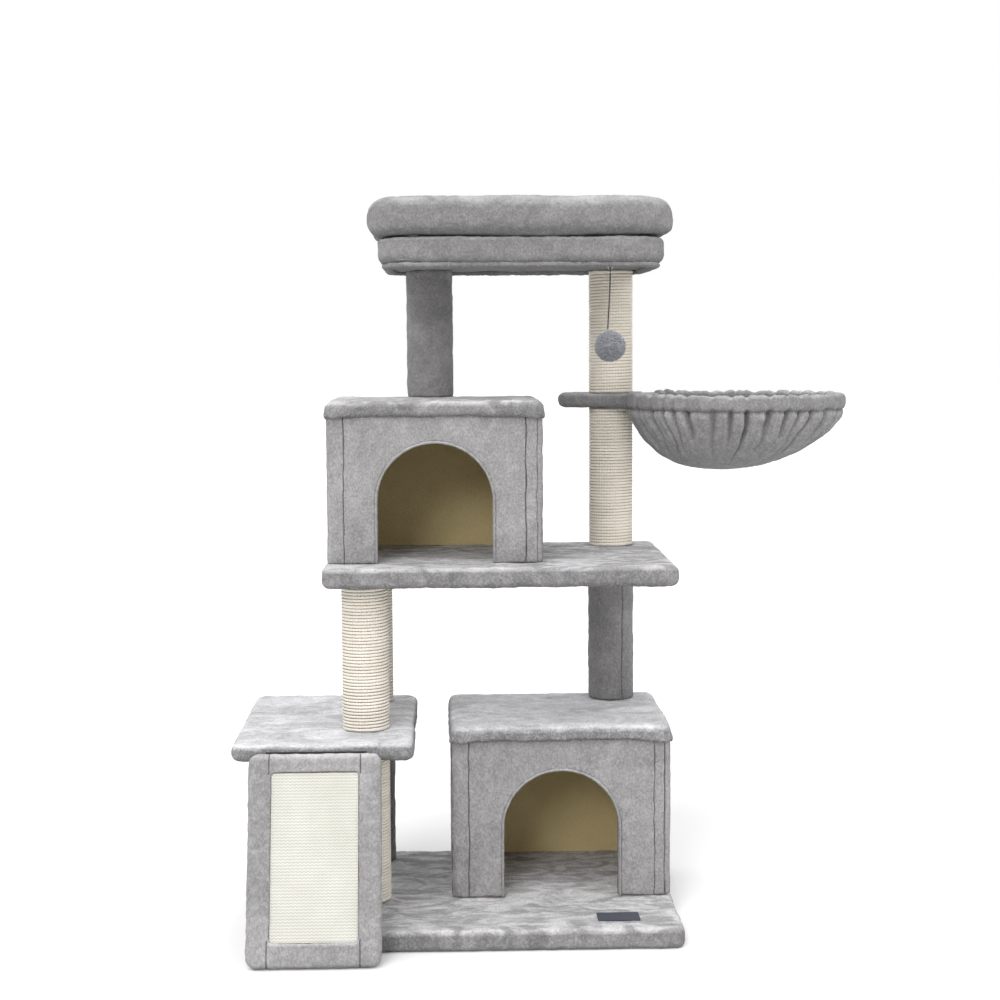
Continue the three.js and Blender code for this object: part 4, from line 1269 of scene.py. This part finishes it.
def add_string():
    _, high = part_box("toy_string")
    loop = middle_of("toy_loop")
    curve = bpy.data.curves.new("toy_cord", "CURVE")
    curve.dimensions = "3D"
    curve.bevel_depth = STRING_DIAMETER / 2
    curve.bevel_resolution = 3
    curve.use_fill_caps = True
    spline = curve.splines.new("POLY")
    spline.points.add(len(STRING_DRIFT) - 1)
    for i, drift in enumerate(STRING_DRIFT):
        place = (loop.x - drift * MM, loop.y, high.z - i * STRING_STEP)
        spline.points[i].co = (*place, 1)
    obj = finished(named_object("toy_cord", curve), "black_thread", "cord", "toy", "toy_string")
    return obj, (loop.x, loop.y, high.z)


YARN_ENDS = 1100
YARN_SIDES = 5
# An end's radius at its root and at its tip.
YARN_ROOT = 1.15 * MM
YARN_TIP = 0.75 * MM


def add_pompom():
    """Short yarn ends that stand out all round, cut to a ball."""
    low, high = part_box("toy_pompom")
    centre, radius = (low + high) / 2, (high.x - low.x) / 2
    dice = random.Random(5)
    bm = bmesh.new()
    bmesh.ops.create_icosphere(bm, subdivisions=4, radius=radius * 0.8)
    for v in bm.verts:
        v.co *= 1 + 0.1 * noise.noise(v.co * 260) + 0.06 * noise.noise(v.co * 600)
    for i in range(YARN_ENDS):
        # Evenly spread directions, each a little off.
        z = 1 - 2 * (i + 0.5) / YARN_ENDS
        turn = math.pi * (3 - math.sqrt(5)) * i
        flat = math.sqrt(1 - z * z)
        facing = Vector((flat * math.cos(turn), flat * math.sin(turn), z))
        facing += Vector([dice.uniform(-0.22, 0.22) for _ in range(3)])
        facing.normalize()
        root = radius * 0.62
        reach = radius * dice.uniform(0.9, 1.0) - root
        matrix = (
            Matrix.Translation(facing * (root + reach / 2))
            @ facing.to_track_quat("Z", "Y").to_matrix().to_4x4()
        )
        bmesh.ops.create_cone(
            bm,
            cap_ends=True,
            cap_tris=False,
            segments=YARN_SIDES,
            radius1=YARN_ROOT,
            radius2=YARN_TIP,
            depth=reach,
            matrix=matrix,
        )
    bmesh.ops.translate(bm, verts=bm.verts, vec=centre)
    obj = smooth_shaded(from_bmesh("pompom", bm))
    return finished(obj, "yarn", "plush", "toy", "toy_pompom")


def add_toy():
    string, top = add_string()
    pompom = add_pompom()


# ---- What stays as it is in the frame ----

NODE_FINISHES = (
    ("_board", "board"),
    ("_panel", "board"),
    ("_core", "paper"),
    ("_lining", "lining"),
    ("_bolt", "steel"),
    ("_hoop", "steel"),
    ("_eye", "steel"),
    ("_loop", "black_thread"),
    ("_tape", "black_thread"),
    ("_tag", "navy_label"),
)


def dress_nodes():
    for name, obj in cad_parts.items():
        finish = next((f for ending, f in NODE_FINISHES if name.endswith(ending)), "walls")
        obj.data.materials.clear()
        obj.data.materials.append(MATERIALS[finish])


# ---- Floor and light ----


FLOOR_SIZE = 30
LIT_POINT = Vector((0.0, 0.0, 0.5))
# Each light's name, kind, place, size and power. A sun's size is an angle.
LIGHTS = (
    ("softbox", "SUN", (-0.35, -0.8, 1.2), math.radians(40), 1.1),
    ("window", "SUN", (-0.3, -1.0, 0.42), math.radians(16), 0.85),
    ("right", "AREA", (1.9, -1.7, 1.6), 1.0, 12),
)


def add_stage():
    bm = bmesh.new()
    bmesh.ops.create_grid(bm, x_segments=1, y_segments=1, size=FLOOR_SIZE)
    floor = from_bmesh("floor", bm)
    shader = Shader("pale_floor", 0.9)
    grain = shader.cloudy((2, 2, 2))
    shader.paint(shader.mixed(grain, (0.93, 0.93, 0.93), (0.96, 0.96, 0.96)))
    floor.data.materials.append(shader.material)
    world = bpy.data.worlds.new("studio")
    bpy.context.scene.world = world
    world.use_nodes = True
    sky = world.node_tree.nodes["Background"]
    sky.inputs["Color"].default_value = (1.0, 1.0, 1.0, 1.0)
    sky.inputs["Strength"].default_value = 1.0
    for name, kind, place, size, power in LIGHTS:
        place, sun = Vector(place), kind == "SUN"
        light = bpy.data.lights.new(name, kind)
        light.energy = power
        setattr(light, "angle" if sun else "size", size)
        lamp = named_object(name, light)
        lamp.location = place
        lamp.rotation_mode = "QUATERNION"
        facing = -place if sun else LIT_POINT - place
        lamp.rotation_quaternion = facing.to_track_quat("-Z", "Y")
    bpy.context.scene.view_settings.view_transform = "Standard"


add_camera()
add_toy()
add_stage()
dress_nodes()
add_boards()
for box_name in ("lower_condo", "upper_condo"):
    add_condo_walls(box_name)
add_posts()
add_perch()
add_hammock()
add_ramp()
